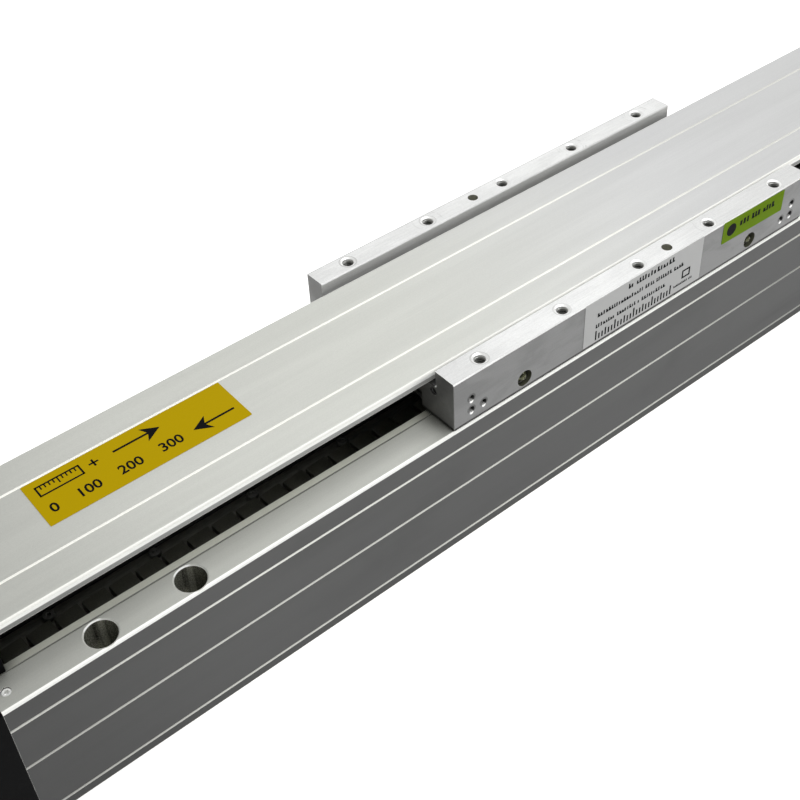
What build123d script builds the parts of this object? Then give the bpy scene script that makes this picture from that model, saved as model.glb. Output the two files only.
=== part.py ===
from build123d import *
import os

# Linear motor module. X runs along the module, Y across it, Z up. The origin is under the middle
# of the base. The carriage stands at mid-stroke. All sizes are in millimetres.

# Travel and lengths
stroke = 300.0
table_length = 180.0
end_room = 12.0  # from a bar's end to the extrusion's end when the carriage is at its limit
end_plate_thickness = 12.0
end_plate_chamfer = 0.5
end_plate_step_radius = 1.0
support_depth = 7.0  # how far a cover support reaches into the base
support_key_height = 5.0
support_edge_radius = 0.5
support_screw_row = 18.4
stop_gap = 1.0  # between a buffer and the table's web at the limit

# Base extrusion
base_width = 80.0
ledge_height = 55.5
wall_thickness = 12.0
lip_reach = 3.4
lip_thickness = 4.5
lip_fall = 0.9  # the lip's top slopes down towards the slot by this much
lip_width = 3.5  # from the slot's edge to the seam line
seam_width = 0.4
seam_depth = 0.4
pad_height = 24.0
well_height = 14.6
pad_margin = 0.5  # between a rail's side and the pad's edge
floor_thickness = 4.5
deck_thickness = 4.6
rib_thickness = 3.0
chamber_radius = 1.0
foot_width = 16.0
foot_relief = 0.6
side_groove_heights = (4.4, 28.0, 46.5)
side_groove_width = 1.0
side_groove_depth = 0.6
ledge_edge_radius = 1.0
base_edge_radius = 0.6
lip_edge_radius = 0.3

# Mounting holes in the ledges, in pairs
mount_end = 33.5
mount_pitch = 30.0
mount_bore = 5.5
mount_counterbore = 10.0
mount_counterbore_depth = 12.0
mount_chamfer = 0.4

# Cover
slot_height = 14.5  # from the ledge to the underside of the cover
cover_thickness = 4.0
cover_side_gap = 2.9  # between the cover's side and a bar
cover_groove_offset = 15.0
cover_groove_width = 0.9
cover_groove_depth = 0.5
cover_edge_radius = 1.5
cover_under_radius = 0.4
cover_rib_width = 2.4
cover_rib_depth = 2.2
cover_rib_radius = 0.3
cover_rib_gap = 0.2  # between a rib and its slot in the cover support
cover_screw_offset = 8.0

# Clearances
running_gap = 0.3
seat_gap = 0.05  # round a screw in its thread, and round other fitted round pieces
hole_gap = 0.25  # round a screw's shank in a plain hole
head_gap = 0.3  # round a screw's head in its counterbore
head_recess = 0.3  # how far a sunk head lies below its face
screw_end_gap = 0.5  # left in a thread below the screw's end

# Carriage table: a web under the cover, two wings and two bars
bar_inset = 0.4
bar_thickness = 8.8
bar_proud = 2.0  # how far a bar stands above the cover
bar_edge_chamfer = 0.4
wing_gap = 0.8  # under the cover
wing_radius = 0.8
web_gap = 1.8  # under the cover's ribs
web_setback = 4.0  # the web is this much shorter than the bars at each end
neck_gap = 1.6  # between the web and the slot's edge
table_thread = 4.2  # core of an M5 thread
table_thread_pitch = 37.5
table_thread_count = 5
table_thread_depth = 14.0
table_thread_rim = 0.75  # the countersink is this much wider all round than the core
table_thread_sink = 0.4
dowel_diameter = 4.0
dowel_offset = 15.0
dowel_depth = 4.0
side_thread = 2.5  # core of an M3 thread
side_thread_depth = 5.0
side_thread_end = 7.5
side_thread_step_x = 5.4
side_thread_step_z = 5.0
side_thread_height = 5.2
end_thread = 3.3  # core of an M4 thread
end_thread_depth = 10.0
end_thread_inset = 1.5
end_thread_drop = 2.6
port_diameter = 6.4
port_depth = 4.0
port_height = 4.5

# Grease nipples in the ports
nipple_collar = 5.6
nipple_collar_height = 1.5
nipple_neck = 2.4
nipple_neck_top = 2.3
nipple_head = 3.4
nipple_head_top = 3.0
nipple_tip = 1.8
nipple_height = 3.6

# Guides, miniature size 7
rail_width = 7.0
rail_height = 4.8
rail_waist = 0.5
rail_waist_height = 2.4
rail_waist_slope = 0.8
rail_edge_chamfer = 0.4
rail_end_gap = 1.0
rail_end_margin = 1.0
rail_hole_pitch = 30.0
rail_hole = 2.4
rail_counterbore = 4.2
rail_counterbore_depth = 2.3
block_width = 17.0
block_height = 8.0  # from the pad to the block's top
block_foot_gap = 1.5  # from the pad to the block's underside
block_length = 23.8
block_hook_slope = 0.65
block_cap_length = 3.5
block_cap_inset = 0.3
block_margin = 0.6  # from a guide block's end to its riser's end
block_side_gap = 0.4
block_screw_x = 13.0
block_screw_y = 12.0
block_edge_chamfer = 0.5

# Risers between the guide blocks and the table
riser_setback = 19.0  # from the table's end to a riser's end
riser_foot_height = 5.0
riser_foot_width = 16.2
riser_stem_width = 7.0
riser_edge_radius = 0.5
riser_screw_count = 3
riser_screw_pitch = 50.0

# Magnet track
pole_pitch = 10.0
magnet_gap = 1.0
magnet_thickness = 4.0
magnet_skew = 4.0  # degrees
track_end_gap = 5.0  # from the track's end to a cover support
segment_count = 4
segment_gap = 0.1
yoke_thickness = 3.5
yoke_screw_inset = 2.5
yoke_screw_pitch = 40.0

# Coil unit
air_gap = 0.7
tooth_count = 9
tooth_width = 6.4
tooth_height = 18.0
winding_thickness = 1.8
winding_foot = 1.2
winding_height = 15.0
winding_corner = 1.2
potting_skin = 0.4  # outside the windings
coil_side_gap = 0.4
coil_plate_gap = 1.6  # from the plate's side to a riser's stem
coil_plate_thickness = 5.8
coil_plate_margin = 4.0
coil_end_margin = 3.0
potting_corner = 1.0
coil_screw_x = 80.0
coil_screw_inset = 5.0  # from the plate's side

# Encoder: a scale on the rear wall, and a head under the table's right end
scale_rise = 2.0  # from a riser's foot to the scale's lower edge
scale_thickness = 1.5
scale_drop = 2.0  # from the lip's underside to the scale's upper edge
scale_gap = 0.5  # between the scale and the head
encoder_length = 13.0
encoder_height = 12.0
encoder_width = 13.0
encoder_chamfer = 1.0
encoder_gap = 1.0  # from the riser's end to the encoder
encoder_screw_pitch = 7.0
encoder_screw_inset = 4.0
encoder_bracket_gap = 0.8  # from the coil plate's side line to the bracket

# Limit sensors on the front wall, and a flag for each under the table
sensor_length = 14.0
sensor_height = 12.0
sensor_base_height = 4.0
sensor_arm = 3.2
sensor_slot = 2.4
sensor_end_margin = 4.0
sensor_drop = 3.0
sensor_seat_depth = 3.0
flag_thickness = 0.8
flag_length = 7.0
flag_overlap = 6.5
flag_foot = 9.0

# Buffers
buffer_diameter = 10.0
buffer_offset = 12.0
buffer_stud = 4.0
buffer_stud_length = 5.0
buffer_edge_radius = 1.5

# Grommet in the right end plate
grommet_diameter = 12.0
grommet_flange = 15.0
grommet_flange_thickness = 2.0
grommet_gap = 0.7  # between the grommet and the cover support's key
grommet_bore = 5.0

# Screws: shank diameter, head diameter, head height, hexagon width across flats
m2 = (2.0, 3.8, 1.6, 1.5)
m2_5 = (2.5, 4.5, 1.5, 1.5)
m3 = (3.0, 5.5, 2.0, 2.0)
m4 = (4.0, 7.0, 4.0, 3.0)
m5 = (5.0, 8.5, 5.0, 4.0)
set_screw_length = 5.0
set_screw_hexagon = 1.5
set_screw_inset = 4.0

# How deep the screws grip
deck_grip = 3.5
plate_grip = 13.0
support_grip = 5.5
cover_grip = 5.0
riser_grip = 8.0
block_grip = 2.0
coil_grip = 4.8
small_grip = 4.0
plate_screw_low = 10.5
plate_screw_drop = 12.5  # from the ledge down to the upper screws

# Heights that follow from the sizes above
table_under = ledge_height + running_gap
cover_under = ledge_height + slot_height
cover_top = cover_under + cover_thickness
cover_seat = cover_top - m3[2] - head_recess
rib_bottom = cover_under - cover_rib_depth
wing_top = cover_under - wing_gap
web_top = rib_bottom - web_gap
web_middle = (table_under + web_top) / 2
table_seat = web_top - m4[2] - head_recess
bar_top = cover_top + bar_proud
lip_under = ledge_height - lip_thickness
rail_top = pad_height + rail_height
rail_screw_seat = rail_top - rail_counterbore_depth
block_top = pad_height + block_height
riser_foot_top = block_top + riser_foot_height
yoke_top = well_height + yoke_thickness
magnet_top = yoke_top + magnet_thickness
coil_bottom = magnet_top + air_gap
coil_plate_bottom = table_under - coil_plate_thickness
winding_low = coil_bottom + winding_foot
tooth_root = coil_bottom + tooth_height
scale_top = lip_under - scale_drop
scale_bottom = riser_foot_top + scale_rise
scale_middle = (scale_bottom + scale_top) / 2
encoder_top = scale_middle + encoder_height / 2
encoder_bottom = encoder_top - encoder_height
encoder_seat = encoder_bottom + m2[2] + head_recess
sensor_top = lip_under - sensor_drop
sensor_bottom = sensor_top - sensor_height
sensor_screw_height = sensor_bottom + sensor_base_height / 2
flag_bottom = sensor_top - flag_overlap
support_screw_height = ledge_height + slot_height / 2
support_key_bottom = lip_under - running_gap - support_key_height
grommet_height = support_key_bottom - grommet_gap - grommet_diameter / 2
plate_screw_heights = (plate_screw_low, ledge_height - plate_screw_drop)

# Places across the module, from its middle plane
base_half = base_width / 2
channel_half = base_half - wall_thickness
lip_half = channel_half - lip_reach
seam_half = lip_half + lip_width
mount_row = (channel_half + base_half) / 2
bar_outer = base_half - bar_inset
bar_inner = bar_outer - bar_thickness
bar_middle = (bar_outer + bar_inner) / 2
cover_half = bar_inner - cover_side_gap
web_half = lip_half - neck_gap
rail_row = channel_half - block_side_gap - block_width / 2
well_half = rail_row - rail_width / 2 - pad_margin
yoke_half = well_half - running_gap
yoke_screw_row = yoke_half - yoke_screw_inset
coil_half = rail_row - block_width / 2 - coil_side_gap
core_half = coil_half - potting_skin - winding_thickness
magnet_half = core_half
coil_plate_half = rail_row - riser_stem_width / 2 - coil_plate_gap
coil_screw_row = coil_plate_half - coil_screw_inset
scale_face = channel_half - scale_thickness
encoder_outer = scale_face - scale_gap
encoder_inner = encoder_outer - encoder_width
encoder_screw_row = encoder_inner + encoder_screw_inset
encoder_bracket_inner = coil_plate_half + encoder_bracket_gap
sensor_depth = 2 * sensor_arm + sensor_slot
sensor_slot_row = sensor_arm + sensor_slot / 2 - channel_half
sensor_seat = sensor_depth - sensor_seat_depth - channel_half
flag_screw_row = sensor_slot_row + (flag_thickness + flag_foot) / 2

# Places along the module, from its middle
base_length = stroke + table_length + 2 * end_room
base_end = base_length / 2
plate_face = base_end + end_plate_thickness
support_face = base_end - support_depth
rail_length = 2 * (support_face - rail_end_gap)
table_end = table_length / 2
web_end = table_end - web_setback
riser_end = table_end - riser_setback
block_offset = riser_end - block_margin - block_length / 2
buffer_length = support_face - (web_end + stroke / 2) - stop_gap
magnet_count = int(2 * (support_face - track_end_gap) // pole_pitch)
track_length = magnet_count * pole_pitch
tooth_pitch = pole_pitch * 4 / 3
core_end = tooth_count * tooth_pitch / 2
potting_end = core_end + coil_end_margin
encoder_start = riser_end + encoder_gap
encoder_end = encoder_start + encoder_length
encoder_middle = (encoder_start + encoder_end) / 2
sensor_middle = support_face - sensor_end_margin - sensor_length / 2
flag_middle = sensor_middle - stroke / 2

os.makedirs("parts", exist_ok=True)


def save(name, *shapes):
    # One file for each node. A node of several pieces keeps them as separate solids.
    solids = [solid for shape in shapes for solid in shape.solids()]
    export_step(Compound(children=solids), f"parts/{name}.step")


def block(x_range, y_range, z_range):
    # A rectangular block between pairs of planes
    size = [high - low for low, high in (x_range, y_range, z_range)]
    middle = [(high + low) / 2 for low, high in (x_range, y_range, z_range)]
    return Pos(*middle) * Box(*size)


def along(points, length, x=0.0):
    # A section in Y and Z, each point with an optional corner radius, drawn out along X
    radii = [point[2] if len(point) > 2 else 0 for point in points]
    corners = [(point[0], point[1]) for point in points]
    face = make_face(FilletPolyline(*corners, radius=radii, close=True))
    return Pos(x - length / 2, 0, 0) * extrude(Plane.YZ * face, amount=length, dir=(1, 0, 0))


def mirrored(points):
    # Closes a half section by its mirror image in the module's middle plane
    return points + [(-point[0],) + tuple(point[1:]) for point in reversed(points)]


def shifted(points, y, z):
    return [(point[0] + y, point[1] + z) + tuple(point[2:]) for point in points]


def both_sides(shape):
    # The shape and its mirror image on the module's other side
    return [shape, mirror(shape, about=Plane.XZ)]


def spread(count, pitch):
    # Evenly pitched places about the middle
    return [(index - (count - 1) / 2) * pitch for index in range(count)]


def down(x, y, z):
    # A place whose own Z points down
    return Pos(x, y, z) * Rot(180, 0, 0)


def inward(end, x, y, z):
    # A place on the left or right end whose own Z points along the module to its middle
    return Pos(end * x, y, z) * Rot(0, -90 * end, 0)


def rod(diameter, length, place):
    # A cylinder that starts at a place and runs along that place's own Z
    return place * Pos(0, 0, length / 2) * Cylinder(diameter / 2, length)


def screw(size, length, place, hexagon=True):
    # A cap screw: its head's underside lies at the place and its shank runs along the place's Z
    shank, head, head_height, across_flats = size
    body = Pos(0, 0, -head_height / 2) * Cylinder(head / 2, head_height)
    body += Pos(0, 0, length / 2) * Cylinder(shank / 2, length)
    if hexagon:
        outline = RegularPolygon(across_flats / 2, 6, major_radius=False)
        body -= Pos(0, 0, -head_height) * extrude(outline, amount=head_height / 2)
    return place * body


def plain(size, length, place):
    # The plain hole for a screw's shank
    return rod(size[0] + 2 * hole_gap, length, place)


def sunk(size, length, place):
    # A plain hole below the place, and above it the counterbore for the screw's head
    depth = size[2] + head_recess
    return plain(size, length, place) + rod(size[1] + 2 * head_gap, depth, place * Pos(0, 0, -depth))


def threaded(size, grip, place):
    # The hole that a screw grips in
    return rod(size[0] + 2 * seat_gap, grip + screw_end_gap, place)


# Where the holes and screws stand
mount_places = [
    (side * x, row)
    for side in (-1, 1)
    for x in (base_end - mount_end, base_end - mount_end - mount_pitch, mount_pitch / 2)
    for row in (-mount_row, mount_row)
]
rail_hole_room = rail_length - rail_counterbore - 2 * rail_end_margin
rail_hole_places = spread(int(rail_hole_room // rail_hole_pitch) + 1, rail_hole_pitch)
yoke_screw_places = spread(int((track_length - pole_pitch) // yoke_screw_pitch) + 1, yoke_screw_pitch)
riser_screw_places = spread(riser_screw_count, riser_screw_pitch)
block_screw_places = [
    (middle + dx, row + dy)
    for row in (-rail_row, rail_row)
    for middle in (-block_offset, block_offset)
    for dx in (-block_screw_x / 2, block_screw_x / 2)
    for dy in (-block_screw_y / 2, block_screw_y / 2)
]
coil_screw_places = [(x * coil_screw_x / 2, y * coil_screw_row) for x in (-1, 1) for y in (-1, 1)]
encoder_screw_places = [(encoder_middle + x, encoder_screw_row) for x in spread(2, encoder_screw_pitch)]
flag_screw_places = [(side * flag_middle, flag_screw_row) for side in (-1, 1)]
cover_screw_places = [
    (end * (base_end - support_depth / 2), row)
    for end in (-1, 1)
    for row in (-cover_screw_offset, cover_screw_offset)
]


def side_groove(height):
    # A V groove in the right side face, from below to above
    half = side_groove_width / 2
    return [
        (base_half, height - half),
        (base_half - side_groove_depth, height),
        (base_half, height + half),
    ]


def make_base():
    # The extrusion's section, from its foot up its side, over the ledge and down into the channel
    seam = seam_width / 2
    half = [(base_half - foot_width, foot_relief), (base_half - foot_width, 0)]
    half += [(base_half, 0, base_edge_radius)]
    for height in side_groove_heights:
        half += side_groove(height)
    half += [
        (base_half, ledge_height, ledge_edge_radius),
        (seam_half + seam, ledge_height),
        (seam_half, ledge_height - seam_depth),
        (seam_half - seam, ledge_height - seam_width * lip_fall / lip_width),
        (lip_half, ledge_height - lip_fall, lip_edge_radius),
        (lip_half, lip_under, lip_edge_radius),
        (channel_half, lip_under),
        (channel_half, pad_height),
        (well_half, pad_height, lip_edge_radius),
        (well_half, well_height),
    ]
    base = along(mirrored(half), base_length)

    # Hollow chambers under the well and under the rail pads
    rib = rib_thickness / 2
    inner = ((rib, well_half - rib), (floor_thickness, well_height - deck_thickness))
    outer = ((well_half + rib, channel_half), (floor_thickness, pad_height - deck_thickness))
    for (y0, y1), (z0, z1) in (inner, outer):
        corners = [(y0, z0), (y1, z0), (y1, z1), (y0, z1)]
        section = [(y, z, chamber_radius) for y, z in corners]
        base -= both_sides(along(section, base_length))

    # Mounting holes down through the side walls
    holes = []
    for x, y in mount_places:
        top = down(x, y, ledge_height)
        mouth = mount_counterbore / 2
        rim = Cone(mouth + mount_chamfer, mouth, mount_chamfer)
        holes.append(rod(mount_bore, ledge_height, top))
        holes.append(rod(mount_counterbore, mount_counterbore_depth, top))
        holes.append(top * Pos(0, 0, mount_chamfer / 2) * rim)

    # Threads for the rails, the yokes, the end plates, the ledge set screws and the sensors
    for row in (-rail_row, rail_row):
        holes += [threaded(m2, deck_grip, down(x, row, pad_height)) for x in rail_hole_places]
    for row in (-yoke_screw_row, yoke_screw_row):
        holes += [threaded(m2_5, deck_grip, down(x, row, well_height)) for x in yoke_screw_places]
    for end in (-1, 1):
        for row in (-mount_row, mount_row):
            holes += [threaded(m5, plate_grip, inward(end, base_end, row, z)) for z in plate_screw_heights]
            corner = down(end * (base_end - set_screw_inset), row, ledge_height)
            holes.append(threaded(m3, set_screw_length, corner))
        wall = Pos(end * sensor_middle, -channel_half, sensor_screw_height) * Rot(90, 0, 0)
        holes.append(threaded(m2, small_grip, wall))
    return base - holes


def make_cover():
    # A flat extrusion: two grooves on top, a rib under each of them, rounded edges
    groove = cover_groove_width / 2
    rib = cover_rib_width / 2
    half = [
        (cover_groove_offset - rib, cover_under),
        (cover_groove_offset - rib, rib_bottom, cover_rib_radius),
        (cover_groove_offset + rib, rib_bottom, cover_rib_radius),
        (cover_groove_offset + rib, cover_under),
        (cover_half, cover_under, cover_under_radius),
        (cover_half, cover_top, cover_edge_radius),
        (cover_groove_offset + groove, cover_top),
        (cover_groove_offset, cover_top - cover_groove_depth),
        (cover_groove_offset - groove, cover_top),
    ]
    cover = along(mirrored(half), base_length)
    for x, y in cover_screw_places:
        cover -= sunk(m3, cover_seat - cover_under, down(x, y, cover_seat))
    return cover


def make_end_plate(end, with_grommet):
    # The plate has the outline of the base and the cover together
    half = [
        (base_half, 0, base_edge_radius),
        (base_half, ledge_height, ledge_edge_radius),
        (cover_half, ledge_height, end_plate_step_radius),
        (cover_half, cover_top, cover_edge_radius),
    ]
    plate = along(mirrored(half), end_plate_thickness, end * (base_end + plate_face) / 2)
    rim = plate.edges().group_by(Axis.X)[-1 if end > 0 else 0]
    plate = chamfer(rim, end_plate_chamfer)
    holes = []
    for place in plate_screw_seats(end):
        holes.append(sunk(m5, end_plate_thickness, place))
    for place in support_screw_seats(end):
        holes.append(sunk(m4, end_plate_thickness, place))
    if with_grommet:
        mouth = inward(end, plate_face, 0, grommet_height)
        holes.append(rod(grommet_diameter + 2 * seat_gap, end_plate_thickness, mouth))
        holes.append(rod(grommet_flange + 2 * seat_gap, grommet_flange_thickness, mouth))
    return plate - holes


def plate_screw_seats(end):
    x = plate_face - m5[2] - head_recess
    return [inward(end, x, row, z) for row in (-mount_row, mount_row) for z in plate_screw_heights]


def support_screw_seats(end):
    x = plate_face - m4[2] - head_recess
    rows = (-support_screw_row, support_screw_row)
    return [inward(end, x, row, support_screw_height) for row in rows]


def make_grommet():
    mouth = inward(1, plate_face, 0, grommet_height)
    body = rod(grommet_diameter, end_plate_thickness, mouth)
    body += rod(grommet_flange, grommet_flange_thickness, mouth)
    return body - rod(grommet_bore, end_plate_thickness, mouth)


def make_cover_support(end):
    # A key that hooks under the lips, a neck between them and a head that carries the cover
    key_half = channel_half - running_gap
    neck_half = lip_half - running_gap
    key_top = lip_under - running_gap
    slot = cover_rib_width / 2 + cover_rib_gap
    half = [
        (key_half, support_key_bottom, support_edge_radius),
        (key_half, key_top, lip_edge_radius),
        (neck_half, key_top),
        (neck_half, ledge_height),
        (cover_half, ledge_height, support_edge_radius),
        (cover_half, cover_under, cover_under_radius),
        (cover_groove_offset + slot, cover_under),
        (cover_groove_offset + slot, rib_bottom - cover_rib_gap),
        (cover_groove_offset - slot, rib_bottom - cover_rib_gap),
        (cover_groove_offset - slot, cover_under),
    ]
    support = along(mirrored(half), support_depth, end * (base_end - support_depth / 2))
    holes = [threaded(m3, cover_grip, down(x, y, cover_under)) for x, y in cover_screw_places]
    for row in (-support_screw_row, support_screw_row):
        holes.append(threaded(m4, support_grip, inward(end, base_end, row, support_screw_height)))
    for place in buffer_seats(end):
        holes.append(rod(buffer_stud + 2 * seat_gap, buffer_stud_length + screw_end_gap, place))
    return support - holes


def buffer_seats(end):
    # Places on a cover support's face whose own Z points to the module's end
    outward = Rot(0, 180, 0)
    rows = (-buffer_offset, buffer_offset)
    return [inward(end, support_face, row, web_middle) * outward for row in rows]


def make_buffers(end):
    # Rubber buffers, each with a stud in the cover support
    stud = rod(buffer_stud, buffer_stud_length, Pos(0, 0, 0))
    pad = Pos(0, 0, -buffer_length / 2) * Cylinder(buffer_diameter / 2, buffer_length)
    pad = fillet(pad.edges().group_by(Axis.Z)[0], buffer_edge_radius)
    return [place * (pad + stud) for place in buffer_seats(end)]


def make_rail(row):
    # A waist in the rail's sides takes the balls
    side = rail_width / 2
    half = [
        (side, 0),
        (side, rail_waist_height - rail_waist_slope),
        (side - rail_waist, rail_waist_height),
        (side, rail_waist_height + rail_waist_slope),
        (side, rail_height - rail_edge_chamfer),
        (side - rail_edge_chamfer, rail_height),
    ]
    rail = along(shifted(mirrored(half), row, pad_height), rail_length)
    holes = []
    for x in rail_hole_places:
        holes.append(rod(rail_hole, rail_height, down(x, row, rail_screw_seat)))
        holes.append(rod(rail_counterbore, rail_counterbore_depth, down(x, row, rail_top)))
    return rail - holes


def block_section(width, inset):
    # A saddle over the rail: its arms hook into the rail's waist and clear it by the running gap
    side = width / 2
    inner = rail_width / 2 + running_gap
    return mirrored(
        [
            (inner, rail_height + running_gap),
            (inner, rail_waist_height + block_hook_slope),
            (inner - rail_waist, rail_waist_height),
            (inner, rail_waist_height - block_hook_slope),
            (inner, block_foot_gap),
            (side, block_foot_gap),
            (side, block_height - inset - block_edge_chamfer),
            (side - block_edge_chamfer, block_height - inset),
        ]
    )


def make_guide_block(row, x):
    body = along(shifted(block_section(block_width, 0), row, pad_height), block_length, x)
    return body - [threaded(m2, block_grip, down(*place, block_top)) for place in block_screw_places]


def make_block_caps(row, x):
    width = block_width - 2 * block_cap_inset
    section = shifted(block_section(width, block_cap_inset), row, pad_height)
    reach = (block_length + block_cap_length) / 2
    return [along(section, block_cap_length, x + side * reach) for side in (-1, 1)]


def make_riser(row):
    # An upright bar on a broad foot
    foot = riser_foot_width / 2
    stem = riser_stem_width / 2
    half = [
        (foot, block_top),
        (foot, riser_foot_top, riser_edge_radius),
        (stem, riser_foot_top, riser_edge_radius),
        (stem, table_under),
    ]
    riser = along(shifted(mirrored(half), row, 0), 2 * riser_end)
    holes = [plain(m2, riser_foot_height, down(*place, riser_foot_top)) for place in block_screw_places]
    holes += [threaded(m4, riser_grip, down(x, row, table_under)) for x in riser_screw_places]
    return riser - holes


def make_table():
    # The section runs round the bar, the wing and the web
    bar_section = [
        (web_half, table_under),
        (bar_outer - bar_edge_chamfer, table_under),
        (bar_outer, table_under + bar_edge_chamfer),
        (bar_outer, bar_top - bar_edge_chamfer),
        (bar_outer - bar_edge_chamfer, bar_top),
        (bar_inner + bar_edge_chamfer, bar_top),
        (bar_inner, bar_top - bar_edge_chamfer),
        (bar_inner, wing_top, wing_radius),
        (web_half, wing_top, bar_edge_chamfer),
    ]
    bar = along(bar_section, table_length)
    bar = chamfer(bar.edges().filter_by(Axis.Z), bar_edge_chamfer / 2)
    front, rear = both_sides(bar)
    table = front + rear + block((-web_end, web_end), (-web_half, web_half), (table_under, web_top))

    # Holes in each bar: the rear bar is the front one turned half round
    holes = []
    for side in (-1, 1):
        row = side * bar_middle
        mouth = table_thread / 2
        sink = Cone(mouth, mouth + table_thread_rim, table_thread_sink)
        for x in spread(table_thread_count, table_thread_pitch):
            holes.append(rod(table_thread, table_thread_depth, down(x, row, bar_top)))
            holes.append(Pos(x, row, bar_top - table_thread_sink / 2) * sink)
        holes.append(rod(dowel_diameter, dowel_depth, down(-side * dowel_offset, row, bar_top)))
        for end in (-1, 1):
            holes += bar_end_holes(side, end)

    # Holes for the screws that hold the risers, the coil unit, the encoder head and the flags
    riser_places = [(x, row) for x in riser_screw_places for row in (-rail_row, rail_row)]
    for x, y in riser_places + coil_screw_places:
        holes.append(sunk(m4, table_seat - table_under, down(x, y, table_seat)))
    for x, y in encoder_screw_places + flag_screw_places:
        holes.append(threaded(m2, small_grip, Pos(x, y, table_under)))
    return table - holes


def bar_end_holes(side, end):
    # Three small threads in the bar's outer face, its grease port, and a thread in its end face
    outer = Rot(90 * side, 0, 0)
    far = table_end - side_thread_end
    near = far - side_thread_step_x
    low = table_under + side_thread_height
    high = low + side_thread_step_z
    holes = []
    for x, z in ((far, low), (far, high), (near, low)):
        holes.append(rod(side_thread, side_thread_depth, Pos(end * x, side * bar_outer, z) * outer))
    port = Pos(end * block_offset, side * bar_outer, table_under + port_height)
    holes.append(rod(port_diameter, port_depth, port * outer))
    row = side * (bar_inner - end_thread_inset)
    holes.append(rod(end_thread, end_thread_depth, inward(end, table_end, row, wing_top - end_thread_drop)))
    return holes


def make_nipple(side, end):
    # A turned piece on the port's floor: a collar, a neck and a round head
    steps = [
        (nipple_collar, 0),
        (nipple_collar, nipple_collar_height),
        (nipple_neck, nipple_collar_height),
        (nipple_neck, nipple_neck_top),
        (nipple_head, nipple_head_top),
        (nipple_tip, nipple_height),
    ]
    outline = [(0, 0)] + [(diameter / 2, height) for diameter, height in steps] + [(0, nipple_height)]
    body = revolve(Plane.XZ * make_face(Polyline(*outline, close=True)), Axis.Z)
    floor = Pos(end * block_offset, side * (bar_outer - port_depth), table_under + port_height)
    return floor * Rot(-90 * side, 0, 0) * body


def make_yokes():
    # The steel back plate, in segments
    length = track_length / segment_count
    yokes = []
    for x in spread(segment_count, length):
        span = (length - segment_gap) / 2
        yokes.append(block((x - span, x + span), (-yoke_half, yoke_half), (well_height, yoke_top)))
    holes = [
        plain(m2_5, yoke_thickness, down(x, row, yoke_top))
        for x in yoke_screw_places
        for row in (-yoke_screw_row, yoke_screw_row)
    ]
    return [yoke - holes for yoke in yokes]


def make_magnets():
    # Flat magnets across the track, each turned a little about the upright
    magnet = Rot(0, 0, magnet_skew) * Box(pole_pitch - magnet_gap, 2 * magnet_half, magnet_thickness)
    height = (yoke_top + magnet_top) / 2
    return [Pos(x, 0, height) * magnet for x in spread(magnet_count, pole_pitch)]


def make_core():
    # A laminated comb: back iron with teeth that point down at the magnets
    core = block((-core_end, core_end), (-core_half, core_half), (tooth_root, coil_plate_bottom))
    for x in spread(tooth_count, tooth_pitch):
        span = tooth_width / 2
        core += block((x - span, x + span), (-core_half, core_half), (coil_bottom, tooth_root))
    return core


def make_windings():
    # One copper coil round each tooth
    width = tooth_width + 2 * winding_thickness
    depth = 2 * (core_half + winding_thickness)
    ring = RectangleRounded(width, depth, winding_corner) - Rectangle(tooth_width, 2 * core_half)
    coil = Pos(0, 0, winding_low) * extrude(ring, amount=winding_height)
    return [Pos(x, 0, 0) * coil for x in spread(tooth_count, tooth_pitch)]


def make_potting(core, windings):
    # The resin body fills what the core and the windings leave free
    body = block((-potting_end, potting_end), (-coil_half, coil_half), (coil_bottom, coil_plate_bottom))
    body = fillet(body.edges().filter_by(Axis.Z), potting_corner)
    return body - [core, *windings]


def make_coil_plate():
    end = potting_end + coil_plate_margin
    half = coil_plate_half
    plate = block((-end, end), (-half, half), (coil_plate_bottom, table_under))
    return plate - [threaded(m4, coil_grip, down(x, y, table_under)) for x, y in coil_screw_places]


def make_scale():
    half = rail_length / 2
    return block((-half, half), (scale_face, channel_half), (scale_bottom, scale_top))


def make_encoder_head():
    x_range = (encoder_start, encoder_end)
    head = block(x_range, (encoder_inner, encoder_outer), (encoder_bottom, encoder_top))
    head = chamfer(head.edges().filter_by(Axis.Z), encoder_chamfer)
    length = encoder_top - encoder_seat
    return head - [sunk(m2, length, Pos(x, y, encoder_seat)) for x, y in encoder_screw_places]


def make_encoder_bracket():
    # A spacer between the head and the table's underside
    x_range = (encoder_start, encoder_end)
    bracket = block(x_range, (encoder_bracket_inner, web_half), (encoder_top, table_under))
    length = table_under - encoder_top
    return bracket - [plain(m2, length, Pos(x, y, encoder_top)) for x, y in encoder_screw_places]


def sensor_screw_seat(side):
    return Pos(side * sensor_middle, sensor_seat, sensor_screw_height) * Rot(90, 0, 0)


def make_limit_sensor(side):
    # A slotted light gate: a base on the wall and two arms, open towards the top
    x_range = [side * sensor_middle + half for half in (-sensor_length / 2, sensor_length / 2)]
    y_range = (-channel_half, sensor_depth - channel_half)
    slot = [sensor_slot_row + half for half in (-sensor_slot / 2, sensor_slot / 2)]
    body = block(x_range, y_range, (sensor_bottom, sensor_top))
    body -= block(x_range, slot, (sensor_bottom + sensor_base_height, sensor_top))
    seat = sensor_screw_seat(side)
    body -= plain(m2, sensor_depth, seat)
    return body - rod(m2[1] + 2 * head_gap, sensor_seat_depth, seat * Pos(0, 0, -sensor_seat_depth))


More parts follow.
